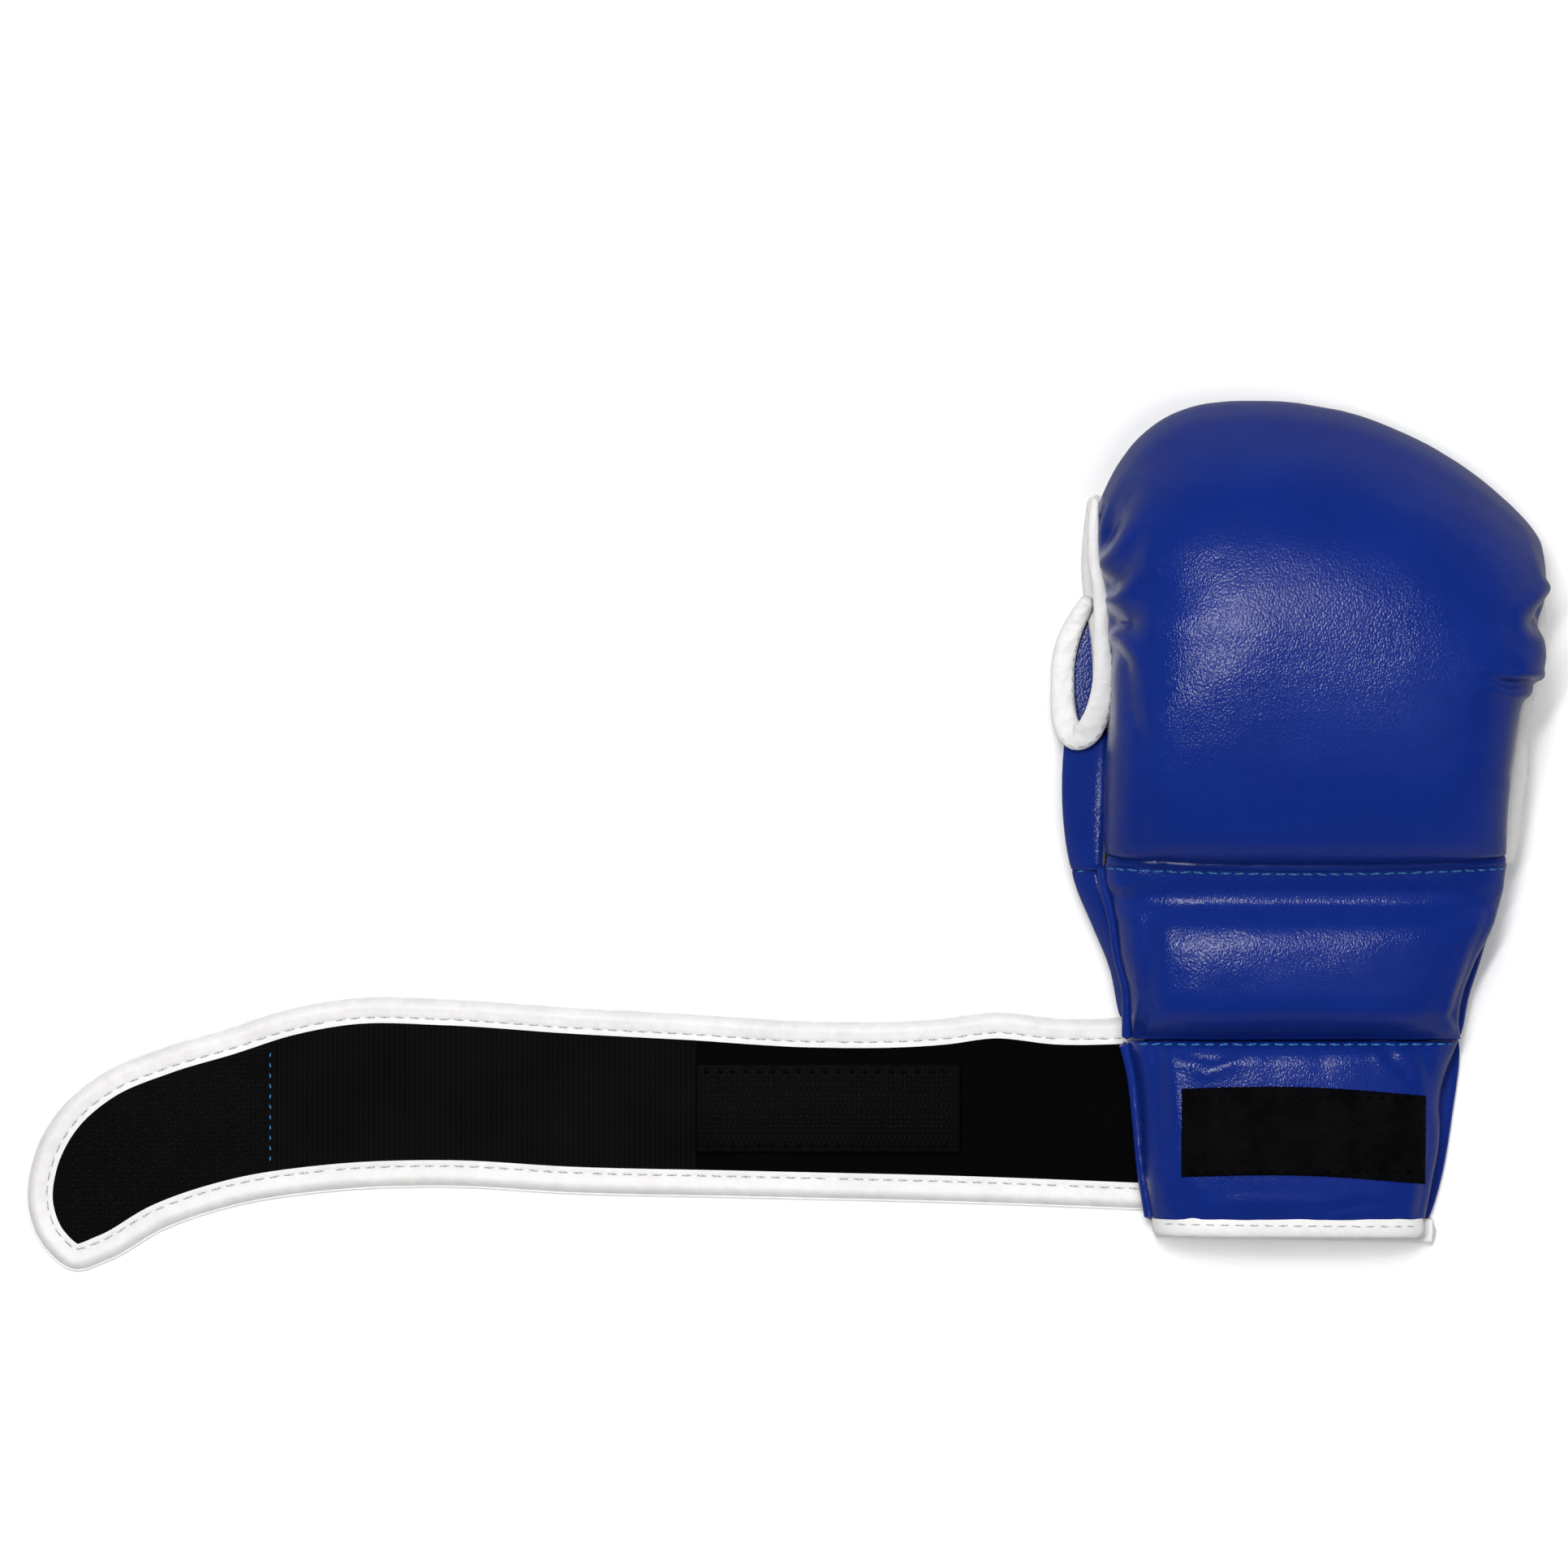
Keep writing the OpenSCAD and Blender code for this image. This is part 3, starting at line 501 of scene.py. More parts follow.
hookShine = threadLook("hookShine", (0.0016, 0.0016, 0.002), (0.006, 0.006, 0.007), gloss=0.2)
hookBlack = clothLook("hookBlack", (0.0008, 0.0006, 0.0010), (0.0022, 0.0019, 0.0025), 1500, rough=0.6)
loopBlack = napLook("loopBlack", (0.0006, 0.0004, 0.0008), (0.009, 0.0085, 0.0095))
blueThread = threadLook("blueThread", (0.015, 0.085, 0.24), (0.06, 0.23, 0.42))
greyThread = threadLook("greyThread", (0.30, 0.36, 0.36), (0.55, 0.60, 0.60))
blackThread = threadLook("blackThread", (0.0006, 0.0006, 0.0008), (0.0022, 0.0022, 0.0026), gloss=0.04)


def declareSheet(piece):
    # measures the box of a layer's outline, in metres
    size = np.ptp(pointsOf(piece)[:, :2], axis=0) * mm


def dress(piece, material):
    piece.data.materials.clear()
    piece.data.materials.append(material)


print("materials ready")


# Knuckle pad

# Places on the pad are mm from the thumb-side edge and mm from the knuckle seam.
knucklePad = dict(
    outerLine=[(0, 1.8, 33.0), (0.03, 0.3, 37), (0.07, 0.9, 42), (0.13, 4.5, 46.8), (0.21, 13, 51.8),
               (0.31, 27, 57), (0.42, 44, 60.4), (0.53, 61, 61.4), (0.64, 79, 60), (0.74, 96, 55.6),
               (0.82, 110, 48.2), (0.89, 121.5, 37.5), (0.94, 129.5, 26.5), (0.975, 133.2, 15), (1, 131.5, 7)],
    innerLine=[(0, 2, 23.5), (0.2, 14, 27), (0.4, 40, 30.5), (0.6, 72, 30.5), (0.8, 100, 23),
               (0.92, 114, 11), (1, 121, 6)],
    edgeLine=[(0, 1.5, 18), (0.2, 13, 17.5), (0.5, 58, 18), (0.75, 96, 17), (0.9, 116, 12), (1, 124, 7)],
    thumbSide=[(0, 2.4), (14, 2.2), (30, 2.6), (42, 3.8), (51, 4.4), (59, 4.4), (67, 3.2), (75, 3.2),
               (80, 2.6), (88, 0.9), (96, 0.4), (108, 0), (134, 0)],
    littleSide=[(0, 117.8), (12, 117.8), (26, 118.9), (38, 120.6), (47, 122.8), (53, 127.2), (62, 128.2),
                (68, 127.0), (76, 128.9), (90, 129.2), (134, 129)],
    tipAcross=-0.25, thumbDrop=27, littleDrop=37, wall=6,
    # folds pulled in by the bound edges, each a line in from the edge
    folds=[
        dict(line=[(0.4, 91.5), (3.6, 97), (6.5, 101.5), (9.5, 106)], depth=4.4, width=2.3, shoulder=0.42),
        dict(line=[(2.4, 96), (5.2, 104), (8.0, 108)], depth=2.2, width=2.6, shoulder=0.1),
        dict(line=[(3.4, 79.6), (6.0, 83), (9.0, 87)], depth=3.8, width=1.9, shoulder=0.4),
        dict(line=[(5.0, 86), (9.5, 90), (10.4, 92)], depth=0.9, width=2.2, shoulder=0.1),
        dict(line=[(3.8, 69.6), (6.2, 68.9), (8.0, 68.6)], depth=5.2, width=2.7, fade=(1, 0.75),
             shoulder=0.12),
        dict(line=[(4.4, 61.8), (7.2, 57.5), (8.6, 50), (9.8, 42)], depth=2.2, width=1.7, shoulder=0.45),
        dict(line=[(8.0, 45), (11.0, 38), (11.4, 31)], depth=0.8, width=1.9, shoulder=0.3),
        dict(line=[(127.8, 91.5), (130.0, 83)], depth=2.0, width=1.6, fade=(0.4, 1), shoulder=0.35),
        dict(line=[(130.0, 73.5), (127.4, 71.4), (125.0, 69)], depth=4.6, width=2.2, fade=(1, 0.6),
             shoulder=0.35),
        dict(line=[(125.2, 51.6), (118, 51.0), (111.5, 52.2), (104, 53.6)], depth=3.2, width=1.25,
             fade=(1, 0.05), shoulder=0.5),
        dict(line=[(123, 49), (120.8, 40), (119.4, 26)], depth=1.1, width=2.0, fade=(0.4, 0.6), shoulder=0.4),
        dict(line=[(12.4, 50), (12.8, 26), (12.2, 8)], depth=0.5, width=2.6, fade=(0.4, 0.8), shoulder=0.5),
    ],
    swells=[
        dict(line=[(13.5, 96), (14.6, 84)], depth=0.35, width=3.0),
        dict(line=[(5.2, 74.6), (9, 77)], depth=0.9, width=2.2),
        dict(line=[(122, 57), (126.5, 60)], depth=1.2, width=3.4),
        dict(line=[(126, 77), (128, 79)], depth=0.8, width=2.6),
    ],
)


def padPoint(u, v, rise01):
    # rise01 is 1 on the outer skin and 0 on the lining side
    p = knucklePad
    e, rise = archAcross(u, 3.9), archRise(u, 3.9)
    edge, skin = [np.stack([through(v, [(a, b) for a, b, c in line]),
                            through(v, [(a, c) for a, b, c in line])], 1)
                  for line in (p["edgeLine"], p["outerLine"] if rise01 else p["innerLine"])]
    spot = mix(edge, skin, rise[:, None])
    drop = np.where(e < p["tipAcross"],
                    p["thumbDrop"] * np.clip((p["tipAcross"] - e) / (1 + p["tipAcross"]), 0, 1) ** 3.5,
                    p["littleDrop"] * np.clip((e - p["tipAcross"]) / (1 - p["tipAcross"]), 0, 1) ** 2)
    length = padHigh[1] - knuckleY
    y = spot[:, 0] * (1 - drop / length)
    y = y + 2.1 * np.abs(e) ** 3 * np.clip(1 - v / 0.12, 0, 1) ** 2
    low, high = through(y, p["thumbSide"]), through(y, p["littleSide"])
    inset = 0 if rise01 else p["wall"]
    x = (low + high) / 2 + e * ((high - low) / 2 - inset)
    return np.stack([padLow[0] + x, knuckleY + y, spot[:, 1]], 1)


def nearLine(points, line):
    # distance from a line of straight steps in the plane, and share of the way along it
    line = np.array(line, float)
    run = lengthsAlong(line)
    best, share = np.full(len(points), 1e9), np.zeros(len(points))
    for k in range(len(line) - 1):
        a, d = line[k], line[k + 1] - line[k]
        t = np.clip(((points - a) @ d) / (d @ d), 0, 1)
        gap = np.linalg.norm(points - a - t[:, None] * d, axis=1)
        closer = gap < best
        best[closer] = gap[closer]
        share[closer] = ((run[k] + t * (run[k + 1] - run[k])) / run[-1])[closer]
    return best, share


def foldSkin(piece, origin, folds, swells, lowest=20):
    # presses sharp folds with rounded shoulders into a skin and lifts swells, along its own normals
    points, normals = pointsOf(piece), normalsOf(piece)
    plane = points[:, :2] - origin
    move = np.zeros(len(points))
    for f in folds:
        gap, share = nearLine(plane, f["line"])
        first, last = f.get("fade", (1, 0.2))
        w = f["width"]
        shoulder = f.get("shoulder", 0.3) * np.exp(-((gap - 2.3 * w) / (1.1 * w)) ** 2)
        shape = -np.exp(-(gap / w) ** 1.5) + shoulder
        move += f["depth"] * mix(first, last, ease(share)) * shape
    for f in swells:
        gap, share = nearLine(plane, f["line"])
        move += f["depth"] * np.exp(-(gap / f["width"]) ** 2)
    outside = ease((points[:, 2] - lowest) / 9)
    press = mix(np.array([0, 0, 1.0]), normals, 0.45)
    setPoints(piece, points + press * (move * outside)[:, None])


def rippleSkin(piece, slow, quick):
    # uneven stuffing: a slow and a quick wave along the normals, each as (height, size, seed)
    points = pointsOf(piece)
    wave = slow[0] * ripple(points, *slow[1:]) + quick[0] * ripple(points, *quick[1:])
    setPoints(piece, points + normalsOf(piece) * wave[:, None])


padPiece = stuffedPiece("knucklePad", 250, 210, padPoint)
foldSkin(padPiece, [padLow[0], knuckleY], knucklePad["folds"], knucklePad["swells"])
rippleSkin(padPiece, (0.22, 46, 3), (0.08, 17, 5))
dress(padPiece, blueLeather)
bendAtKnuckles(padPiece)
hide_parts("knuckle_pad_cover", "knuckle_foam_outer", "knuckle_foam_inner")
print("knuckle pad ready")


# Hand back

handPad = dict(
    outerLine=[(0, 20.2), (1.0, 21.6), (2.6, 25.0), (5, 29.0), (8, 32.0), (12, 33.9), (17, 34.9),
               (23, 35.4), (29, 35.1), (33, 34.0), (36.5, 31.9), (39.5, 30.3), (42.5, 30.3), (46, 31.9),
               (50.5, 33.0)],
    innerLine=[(0, 14), (10, 17.5), (22, 20), (50.5, 21)],
    thumbSide=[(0, -47.6), (5.4, -48.0), (14, -48.4), (24, -50.8), (35.7, -52.4), (43.7, -54.8), (51, -55.8)],
    littleSide=[(0, 47.4), (4.2, 46.8), (13, 47.8), (22.3, 51.2), (30.5, 55.2), (40, 58.6), (51, 60.2)],
    edge=[(0, 9), (20, 11.5), (51, 15)], wall=5,
    folds=[
        dict(line=[(-47.0, 1.5), (-45.2, 5.5), (-43.4, 9.5)], depth=1.3, width=1.3, shoulder=0.5),
        dict(line=[(54.5, 36), (50.6, 26), (46.4, 13), (44.9, 7.2), (47.6, 1.4)], depth=1.5, width=1.2,
             fade=(0.3, 1), shoulder=0.45),
        dict(line=[(-54, 41), (-47.5, 40.5), (-41, 41.2)], depth=1.3, width=1.9, shoulder=0.45),
        dict(line=[(57.5, 39), (50, 39.5), (42, 40.5)], depth=1.0, width=2.4, shoulder=0.4),
        dict(line=[(-43.4, 34), (-43.2, 22), (-43.6, 10)], depth=0.7, width=2.2, fade=(0.6, 1), shoulder=0.4),
        dict(line=[(-51, 47), (-44, 44)], depth=0.5, width=1.6),
        dict(line=[(30, 3.4), (38, 5.2), (43, 5.8)], depth=0.5, width=1.6, fade=(0.2, 1)),
    ],
    swells=[
        dict(line=[(-51, 46.5), (-46, 47)], depth=0.5, width=2.6),
        dict(line=[(-38, 12), (-30, 14)], depth=0.3, width=5.0),
    ],
)


def handPoint(u, v, rise01):
    p = handPad
    y = v * 50.6 + 0.3
    e, rise = archAcross(u, 3.3), archRise(u, 3.3)
    low, high = through(y, p["thumbSide"]), through(y, p["littleSide"])
    top = through(y, p["outerLine"] if rise01 else p["innerLine"])
    inset = 0 if rise01 else p["wall"]
    x = (low + high) / 2 + e * ((high - low) / 2 - inset)
    return np.stack([x, wristY + y, mix(through(y, p["edge"]), top, rise)], 1)


handPiece = stuffedPiece("handBackPad", 220, 110, handPoint, 1.5)
foldSkin(handPiece, [0, wristY], handPad["folds"], handPad["swells"], 13)
rippleSkin(handPiece, (0.16, 30, 8), (0.07, 11, 2))
dress(handPiece, blueLeather)
bendAtWrist(handPiece)
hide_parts("hand_back_cover", "hand_back_foam")


def skinHeight(shape, x, v):
    # height of an outer skin above x at place v along it
    u = np.linspace(0.02, 0.98, 240)
    line = shape(u, np.full_like(u, v), 1)
    return np.interp(x, line[:, 0], line[:, 2])


def onSkin(piece, line, lift):
    # drops a line of (x, y) points on to a finished piece, from above
    bpy.context.view_layer.update()
    spots = []
    for x, y in line:
        hit, place, normal, face = piece.ray_cast(Vector((x * mm, y * mm, 0.1)), Vector((0, 0, -1)))
        if hit:
            spots.append([x, y, place.z / mm + lift])
    return np.array(spots)


def sagLine(low, high, middle, ends, count=90):
    # line across the glove that sags in the middle
    share = np.linspace(-1, 1, count)
    return [(mix(low, high, (k + 1) / 2), mix(middle, ends, k * k)) for k in share]


# Lip of the knuckle pad's leather, folded over and sewn down on the hand back
lipPath = onSkin(handPiece, sagLine(-55.4, 59.8, 73.4, 74.2), 0.2)
lipPath[:, 1] = [y for x, y in sagLine(-55.4, 59.8, 73.7, 75.6, len(lipPath))]
lip = tapePiece("seamWelt", lipPath, 1.5, 1.05, (0, 1, 0), around=18, crease=0.1, creaseSize=12, taper=1.5)
dress(lip, pipingLeather)
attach(lip, "hand")
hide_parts("seam_welt")
weltPath = onSkin(handPiece, sagLine(-55.2, 59.6, 71.4, 73.0), 0.12)
weltStitches = stitchRow("weltStitching", weltPath, 3.9, 3.3, 0.62, side=(0, 1, 0), wander=0.55)
dress(weltStitches, blueThread)
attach(weltStitches, "hand")
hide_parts("welt_stitching")
print("hand back ready")


# Cuff

cuffBack = dict(
    outerLine=[(-28, 20.2), (-26, 21.4), (-21, 23.1), (-12, 24.3), (0, 24.8), (8, 24.9), (14, 24.9),
               (18, 24.6), (20.4, 23.7), (22.1, 22.1), (23.2, 20.2)],
    innerLine=[(-28, 15.4), (0, 15.6), (23.2, 15.4)],
    thumbSide=[(-28, -41.8), (-13.4, -44.4), (1.2, -45.4), (12, -46.2), (18, -47.6), (23.2, -48.6)],
    littleSide=[(-28, 37.4), (-16.5, 39.6), (-3.5, 41.6), (7, 41.6), (16, 44), (23.2, 47)],
    edgeHeight=4.6, wall=4.5,
    folds=[
        dict(line=[(-41, 20), (-40, 12), (-39.4, 0), (-38.4, -14)], depth=0.7, width=1.9, fade=(1, 0.3),
             shoulder=0.5),
        dict(line=[(-33, 20), (-24, 17.5), (-17, 20.5)], depth=0.5, width=1.5, fade=(1, 0.3)),
        dict(line=[(-8, 20), (-7, 11)], depth=0.35, width=2.2),
        dict(line=[(6, 20), (8, 10)], depth=0.4, width=1.9),
        dict(line=[(26, 20), (30.5, 14), (33, 8)], depth=0.7, width=1.5, fade=(1, 0.3), shoulder=0.5),
        dict(line=[(36, 19), (40, 8)], depth=0.6, width=1.6),
        dict(line=[(38.4, -2), (37.4, -14), (35.6, -26)], depth=0.7, width=1.4, fade=(0.6, 1), shoulder=0.5),
        dict(line=[(-30, -26), (-37, -14)], depth=0.6, width=2.0),
        dict(line=[(8, -25.5), (20, -23.4), (31, -25)], depth=0.5, width=1.3),
    ],
    swells=[
        dict(line=[(-20, -22.8), (4, -22.6)], depth=0.45, width=2.0),
        dict(line=[(-27, 14), (-20, 17)], depth=0.5, width=2.2),
        dict(line=[(28, 18), (31, 10)], depth=0.4, width=1.8),
        dict(line=[(-36, 17), (-34, -2)], depth=0.3, width=2.2),
    ],
)


def cuffPoint(u, v, rise01):
    p = cuffBack
    y = mix(-28.0, 23.2, v)
    e, rise = archAcross(u), archRise(u)
    low, high = through(y, p["thumbSide"]), through(y, p["littleSide"])
    top = through(y, p["outerLine"] if rise01 else p["innerLine"])
    inset = 0 if rise01 else p["wall"]
    x = (low + high) / 2 + e * ((high - low) / 2 - inset)
    return np.stack([x, y, mix(p["edgeHeight"], top, rise)], 1)


cuffPiece = stuffedPiece("cuffBackPad", 200, 90, cuffPoint, 0.6)
foldSkin(cuffPiece, [0, 0], cuffBack["folds"], cuffBack["swells"], 5)
rippleSkin(cuffPiece, (0.14, 24, 11), (0.05, 9, 4))
dress(cuffPiece, blueLeather)
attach(cuffPiece, "cuff")
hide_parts("cuff_back_cover", "cuff_back_foam")

wristPath = onSkin(cuffPiece, [(x, wristY - 1.1) for x in np.linspace(-46.5, 46, 80)], 0.1)
wristStitches = stitchRow("wristSeamStitching", wristPath, 4.0, 3.2, 0.62, side=(0, 1, 0), wander=0.5)
dress(wristStitches, blueThread)
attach(wristStitches, "cuff")
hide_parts("wrist_seam_stitching")


def pillowPiece(name, low, high, y0, y1, z0, z1, around=36, along=40, power=3.2, endPower=5.0, tilt=0.0):
    # soft flat panel between two side lines, rounded at all its edges
    def place(u, v):
        ca, sa = roundSection(u, power)[2:]
        y = mix(y0, y1, 0.5 - 0.5 * np.cos(np.pi * v))
        ends = np.clip(1 - np.abs(2 * (y - y0) / (y1 - y0) - 1) ** endPower, 0, 1) ** (1 / endPower)
        ends = np.maximum(ends, 0.02)
        left, right = through(y, low), through(y, high)
        bottom = through(y, z0) if isinstance(z0, list) else z0
        top = through(y, z1) if isinstance(z1, list) else z1
        half = (right - left) / 2
        return np.stack([(left + right) / 2 + ca * np.maximum(half - (1 - ends) * 3, 0.1), y,
                         (bottom + top) / 2 + sa * ends * (top - bottom) / 2 + tilt * ca * (sa > 0) * sa], 1)
    return tubePiece(name, around, along, place)


palmPanel = pillowPiece("cuffPalmPanel", [(-29, -43.0), (24, -43.4)],
                        [(-29, 39.4), (-13, 43.2), (5, 46), (16, 47.6), (24, 48.4)], -29, 23.8, 0.05, 3.9)
dress(palmPanel, blueLeather)
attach(palmPanel, "cuff")
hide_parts("cuff_palm_panel")
declareSheet(palmPanel)

# Hem binding: one tape over the back layers, one over the palm layer
u = np.linspace(0.0, 1.0, 150)
hemBackPath = (cuffPoint(u, np.zeros_like(u), 1) + cuffPoint(u, np.zeros_like(u), 0)) / 2
hemBackPath[:, 1] = mix(-29.4, -30.2, u)
hemBackPath[:, 2] = np.maximum(hemBackPath[:, 2], 6.3)
hemBack = tapePiece("hemBindingBack", evenPath(hemBackPath[::6], 1.2), 3.5, 2.6, (0, 1, 0), around=28,
                    crease=0.05, creaseSize=18, taper=2.0)
dress(hemBack, whiteTape)
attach(hemBack, "cuff")
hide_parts("cuff_hem_binding_back")
hemPalmPath = evenPath([[-41.4, -30.2, 2.05], [0, -31.0, 2.05], [40.8, -31.9, 2.05]], 1.2)
hemPalm = tapePiece("hemBindingPalm", hemPalmPath, 3.5, 1.95, (0, 1, 0), around=28, crease=0.04,
                    creaseSize=18, taper=1.0, power=5)
dress(hemPalm, whiteTape)
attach(hemPalm, "cuff")
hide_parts("cuff_hem_binding_palm")
hemTop = onSkin(hemBack, [(mix(-40, 38, k), mix(-29.4, -30.2, k)) for k in np.linspace(0, 1, 70)], 0.08)
hemStitches = stitchRow("hemStitching", hemTop, 4.2, 2.8, 0.42, side=(0, 1, 0))
dress(hemStitches, greyThread)
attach(hemStitches, "cuff")

# Piped seam along the thumb side
pipeLine = [[-41.9, -28.5, 6.6], [-44.4, -13.4, 6.8], [-45.8, 1.2, 6.8], [-47.4, 14, 7.2], [-49.6, 22.9, 8.6]]
cuffPiping = tapePiece("cuffThumbPiping", evenPath(pipeLine, 1.0), 1.7, 1.7, (1, 0, 0), around=14, power=2,
                       crease=0.1, creaseSize=9, taper=1)
dress(cuffPiping, pipingLeather)
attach(cuffPiping, "cuff")
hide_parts("cuff_thumb_piping")
handPipeLine = [[-48.9, 23.6, 9.6], [-48.9, 29, 11.5], [-49.2, 38, 13], [-51.6, 48, 14],
                [-53.4, 59.2, 15.2], [-55.4, 67.2, 16.2], [-56.4, 74, 17]]
handPiping = tapePiece("handThumbPiping", evenPath(handPipeLine, 1.0), 1.5, 1.5, (1, 0, 0), around=14,
                       power=2, crease=0.1, creaseSize=9, taper=1)
dress(handPiping, pipingLeather)
bendAtWrist(handPiping)
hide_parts("hand_thumb_piping")

# Loop patch
patchLow, patchHigh = nodeBox("loop_patch")


def patchPlace(w, v):
    edge = np.minimum(np.minimum(w, 1 - w) * 70, np.minimum(v, 1 - v) * 25)
    x = mix(patchLow[0], patchHigh[0], w)
    bow = 1.6 * np.sin(np.pi * w) - 2.2 * w + 0.5
    y = mix(patchLow[1], patchHigh[1], v) + bow
    base = np.array([skinHeight(cuffPoint, a, (b + 28) / 51.2) for a, b in zip(x, y)])
    p = np.stack([x, y, base], 1)
    pile = 0.16 * ripple(p, 2.1, 6) + 0.1 * ripple(p, 0.9, 9)
    p[:, 0] += 0.12 * ripple(p[:, [1, 0, 2]], 2.4, 4) * (edge < 0.5)
    p[:, 1] += 0.12 * ripple(p, 2.2, 2) * (edge < 0.5)
    p[:, 2] += 0.25 + 1.5 * np.clip(edge / 0.9, 0, 1) ** 0.5 + pile * np.clip(edge, 0, 1)
    return p


loopPatch = gridPiece("loopPatch", 190, 78, patchPlace)
applyModifier(loopPatch, "SOLIDIFY", thickness=0.0004, offset=-1)
smoothShade(loopPatch, 60)
dress(loopPatch, loopBlack)
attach(loopPatch, "cuff")
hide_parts("loop_patch")
declareSheet(loopPatch)
for name in ("cuff_lining", "knuckle_lining", "hand_lining"):
    dress(frame["nodes"][name], liningBlack)
dress(frame["nodes"]["loop_patch_stitching"], blackThread)
print("cuff ready")


# Sides

gusset = pillowPiece("thumbSideGusset",
                     [(29, -51.4), (36, -52.2), (42.3, -53.3), (56.4, -58.8), (66, -63),
                      (73, -65.6), (80, -67.2)],
                     [(29, -47.6), (42, -49.4), (59, -53), (73, -56), (80, -55.4)], 29.5, 73.2,
                     [(29, 4.6), (40, 3), (80, 2.5)], [(29, 9), (40, 10), (59, 11.5), (80, 12.5)], tilt=2.6)
dress(gusset, blueLeather)
bendAtWrist(gusset)
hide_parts("thumb_side_gusset")
baseGusset = pillowPiece("thumbBaseGusset",
                         [(72, -64.9), (80, -66.4), (90, -67.4), (100, -67.5), (114, -66.4)],
                         [(72, -55.5), (80, -55), (94, -54), (114, -54)], 72.4, 113.5, 2.2,
                         [(72, 13), (90, 13), (103, 11.5), (113, 8.5)], endPower=14, tilt=3.2)
dress(baseGusset, blueLeather)
bendAtKnuckles(baseGusset)
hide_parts("thumb_base_gusset")
crossLine = onSkin(gusset, [(mix(-64.6, -57.0, k), mix(71.7, 73.0, k)) for k in np.linspace(0, 1, 16)], 0.1)
crossSeam = stitchRow("gussetCrossStitching", crossLine, 3.4, 2.6, 0.6, side=(0, 1, 0))
dress(crossSeam, blueThread)
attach(crossSeam, "hand")

littleGusset = pillowPiece("littleSideGusset",
                           [(23, 44.5), (40, 47), (56, 53), (75, 57)],
                           [(23, 48.4), (36, 50.2), (45, 53.0), (56, 56.4), (60, 58.0), (75, 61.0)],
                           23.8, 74.6, [(23, 2), (75, 2)], [(23, 8), (40, 10), (75, 13)])
dress(littleGusset, blueLeather)
bendAtWrist(littleGusset)
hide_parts("little_side_gusset")
print("sides ready")


# White bindings of the glove

# One tape runs down the pad's thumb edge, turns below the thumb hole and comes back up round the loop
# x, y, z and half width along the tape
thumbTapeLine = [
    [-58.2, 180, 16.5, 1.2], [-58.6, 175, 18, 1.5], [-58.8, 169.2, 18.6, 1.7], [-58.4, 161.5, 18.8, 1.9],
    [-56.9, 153.9, 18.8, 2.2], [-56.4, 146.9, 18.7, 2.3], [-56.3, 139.8, 18.5, 2.4], [-55.9, 132.8, 18.2, 2.9],
    [-56.0, 126.9, 17.8, 3.0], [-56.7, 121, 17, 3.4], [-58.2, 115.9, 15.6, 3.7], [-60.4, 112.2, 13.5, 3.9],
    [-63.5, 111, 11, 4.0], [-66.0, 113.9, 8.6, 3.8], [-67.1, 119.2, 6.6, 3.6], [-67.3, 125.1, 5.6, 3.4],
    [-67.0, 132.8, 5.2, 3.4], [-65.7, 138.6, 5.2, 3.2], [-63.2, 144.5, 5.8, 2.8], [-60.9, 148.6, 6.8, 2.4],
    [-59.3, 151.4, 8, 2.0]]
thumbTapePath = evenPath(thumbTapeLine, 0.8)
run = np.linspace(0, 1, len(thumbTapePath))
thumbTape = tapePiece("thumbBinding", thumbTapePath[:, :3], thumbTapePath[:, 3],
                      2.1 + 0.4 * ease((run - 0.5) / 0.2), None,
                      around=30, crease=0.10 + 0.10 * ease((run - 0.45) / 0.15), creaseSize=4.5, seed=3,
                      taper=1.6)
dress(thumbTape, whiteTape)
bendAtThumbHole(thumbTape)
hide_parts("thumb_edge_binding", "thumb_loop_binding")


def besideTape(path, side, start, end, height):
    # line on a tape at a share of its half width, between two shares of its length
    tangent, across, up = frameAlong(path[:, :3], None)
    line = path[:, :3] + across * (path[:, 3:] * side) + up * height
    return line[int(start * len(path)):int(end * len(path))]


tapeRows = [stitchRow("thumbStitches", besideTape(thumbTapePath, 0.76, 0.32, 0.66, 1.75), 3.2, 2.3, 0.42,
                      side=(0.3, 0.95, 0)),
            stitchRow("thumbStitches", besideTape(thumbTapePath, -0.8, 0.66, 0.95, 1.9), 3.0, 2.1, 0.42,
                      side=(0.3, 0.95, 0))]
# Lower tape on the palm side of the fingers, seen just past the upper one
lowerTapeLine = evenPath([[-57.4, 181, 4.2], [-58.8, 170, 3.4], [-59.4, 160, 3.2], [-58.6, 151, 3.2],
                          [-56.8, 140, 3.2], [-56, 126, 3.2]], 1.2)
lowerTape = tapePiece("fingerEdgeBinding", lowerTapeLine, 2.4, 2.2, None, around=20, crease=0.08, seed=5,
                      taper=2)
dress(lowerTape, whiteTape)
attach(lowerTape, "fingers")

pick(tapeRows[0])
tapeRows[1].select_set(True)
bpy.ops.object.join()
thumbStitches = tapeRows[0]
thumbStitches.name = thumbStitches.data.name = "thumbBindingStitches"
dress(thumbStitches, greyThread)
bendAtThumbHole(thumbStitches)
loopPanel = pillowPiece("thumbLoopPanel", [(106, -61), (112, -64.5), (124, -66), (134, -65.5), (146, -60.5)],
                        [(106, -56), (146, -56)], 108, 145.5, 0.3, 3.0)
dress(loopPanel, blueLeather)
bendAtThumbHole(loopPanel)
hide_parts("thumb_loop_panel")
declareSheet(loopPanel)

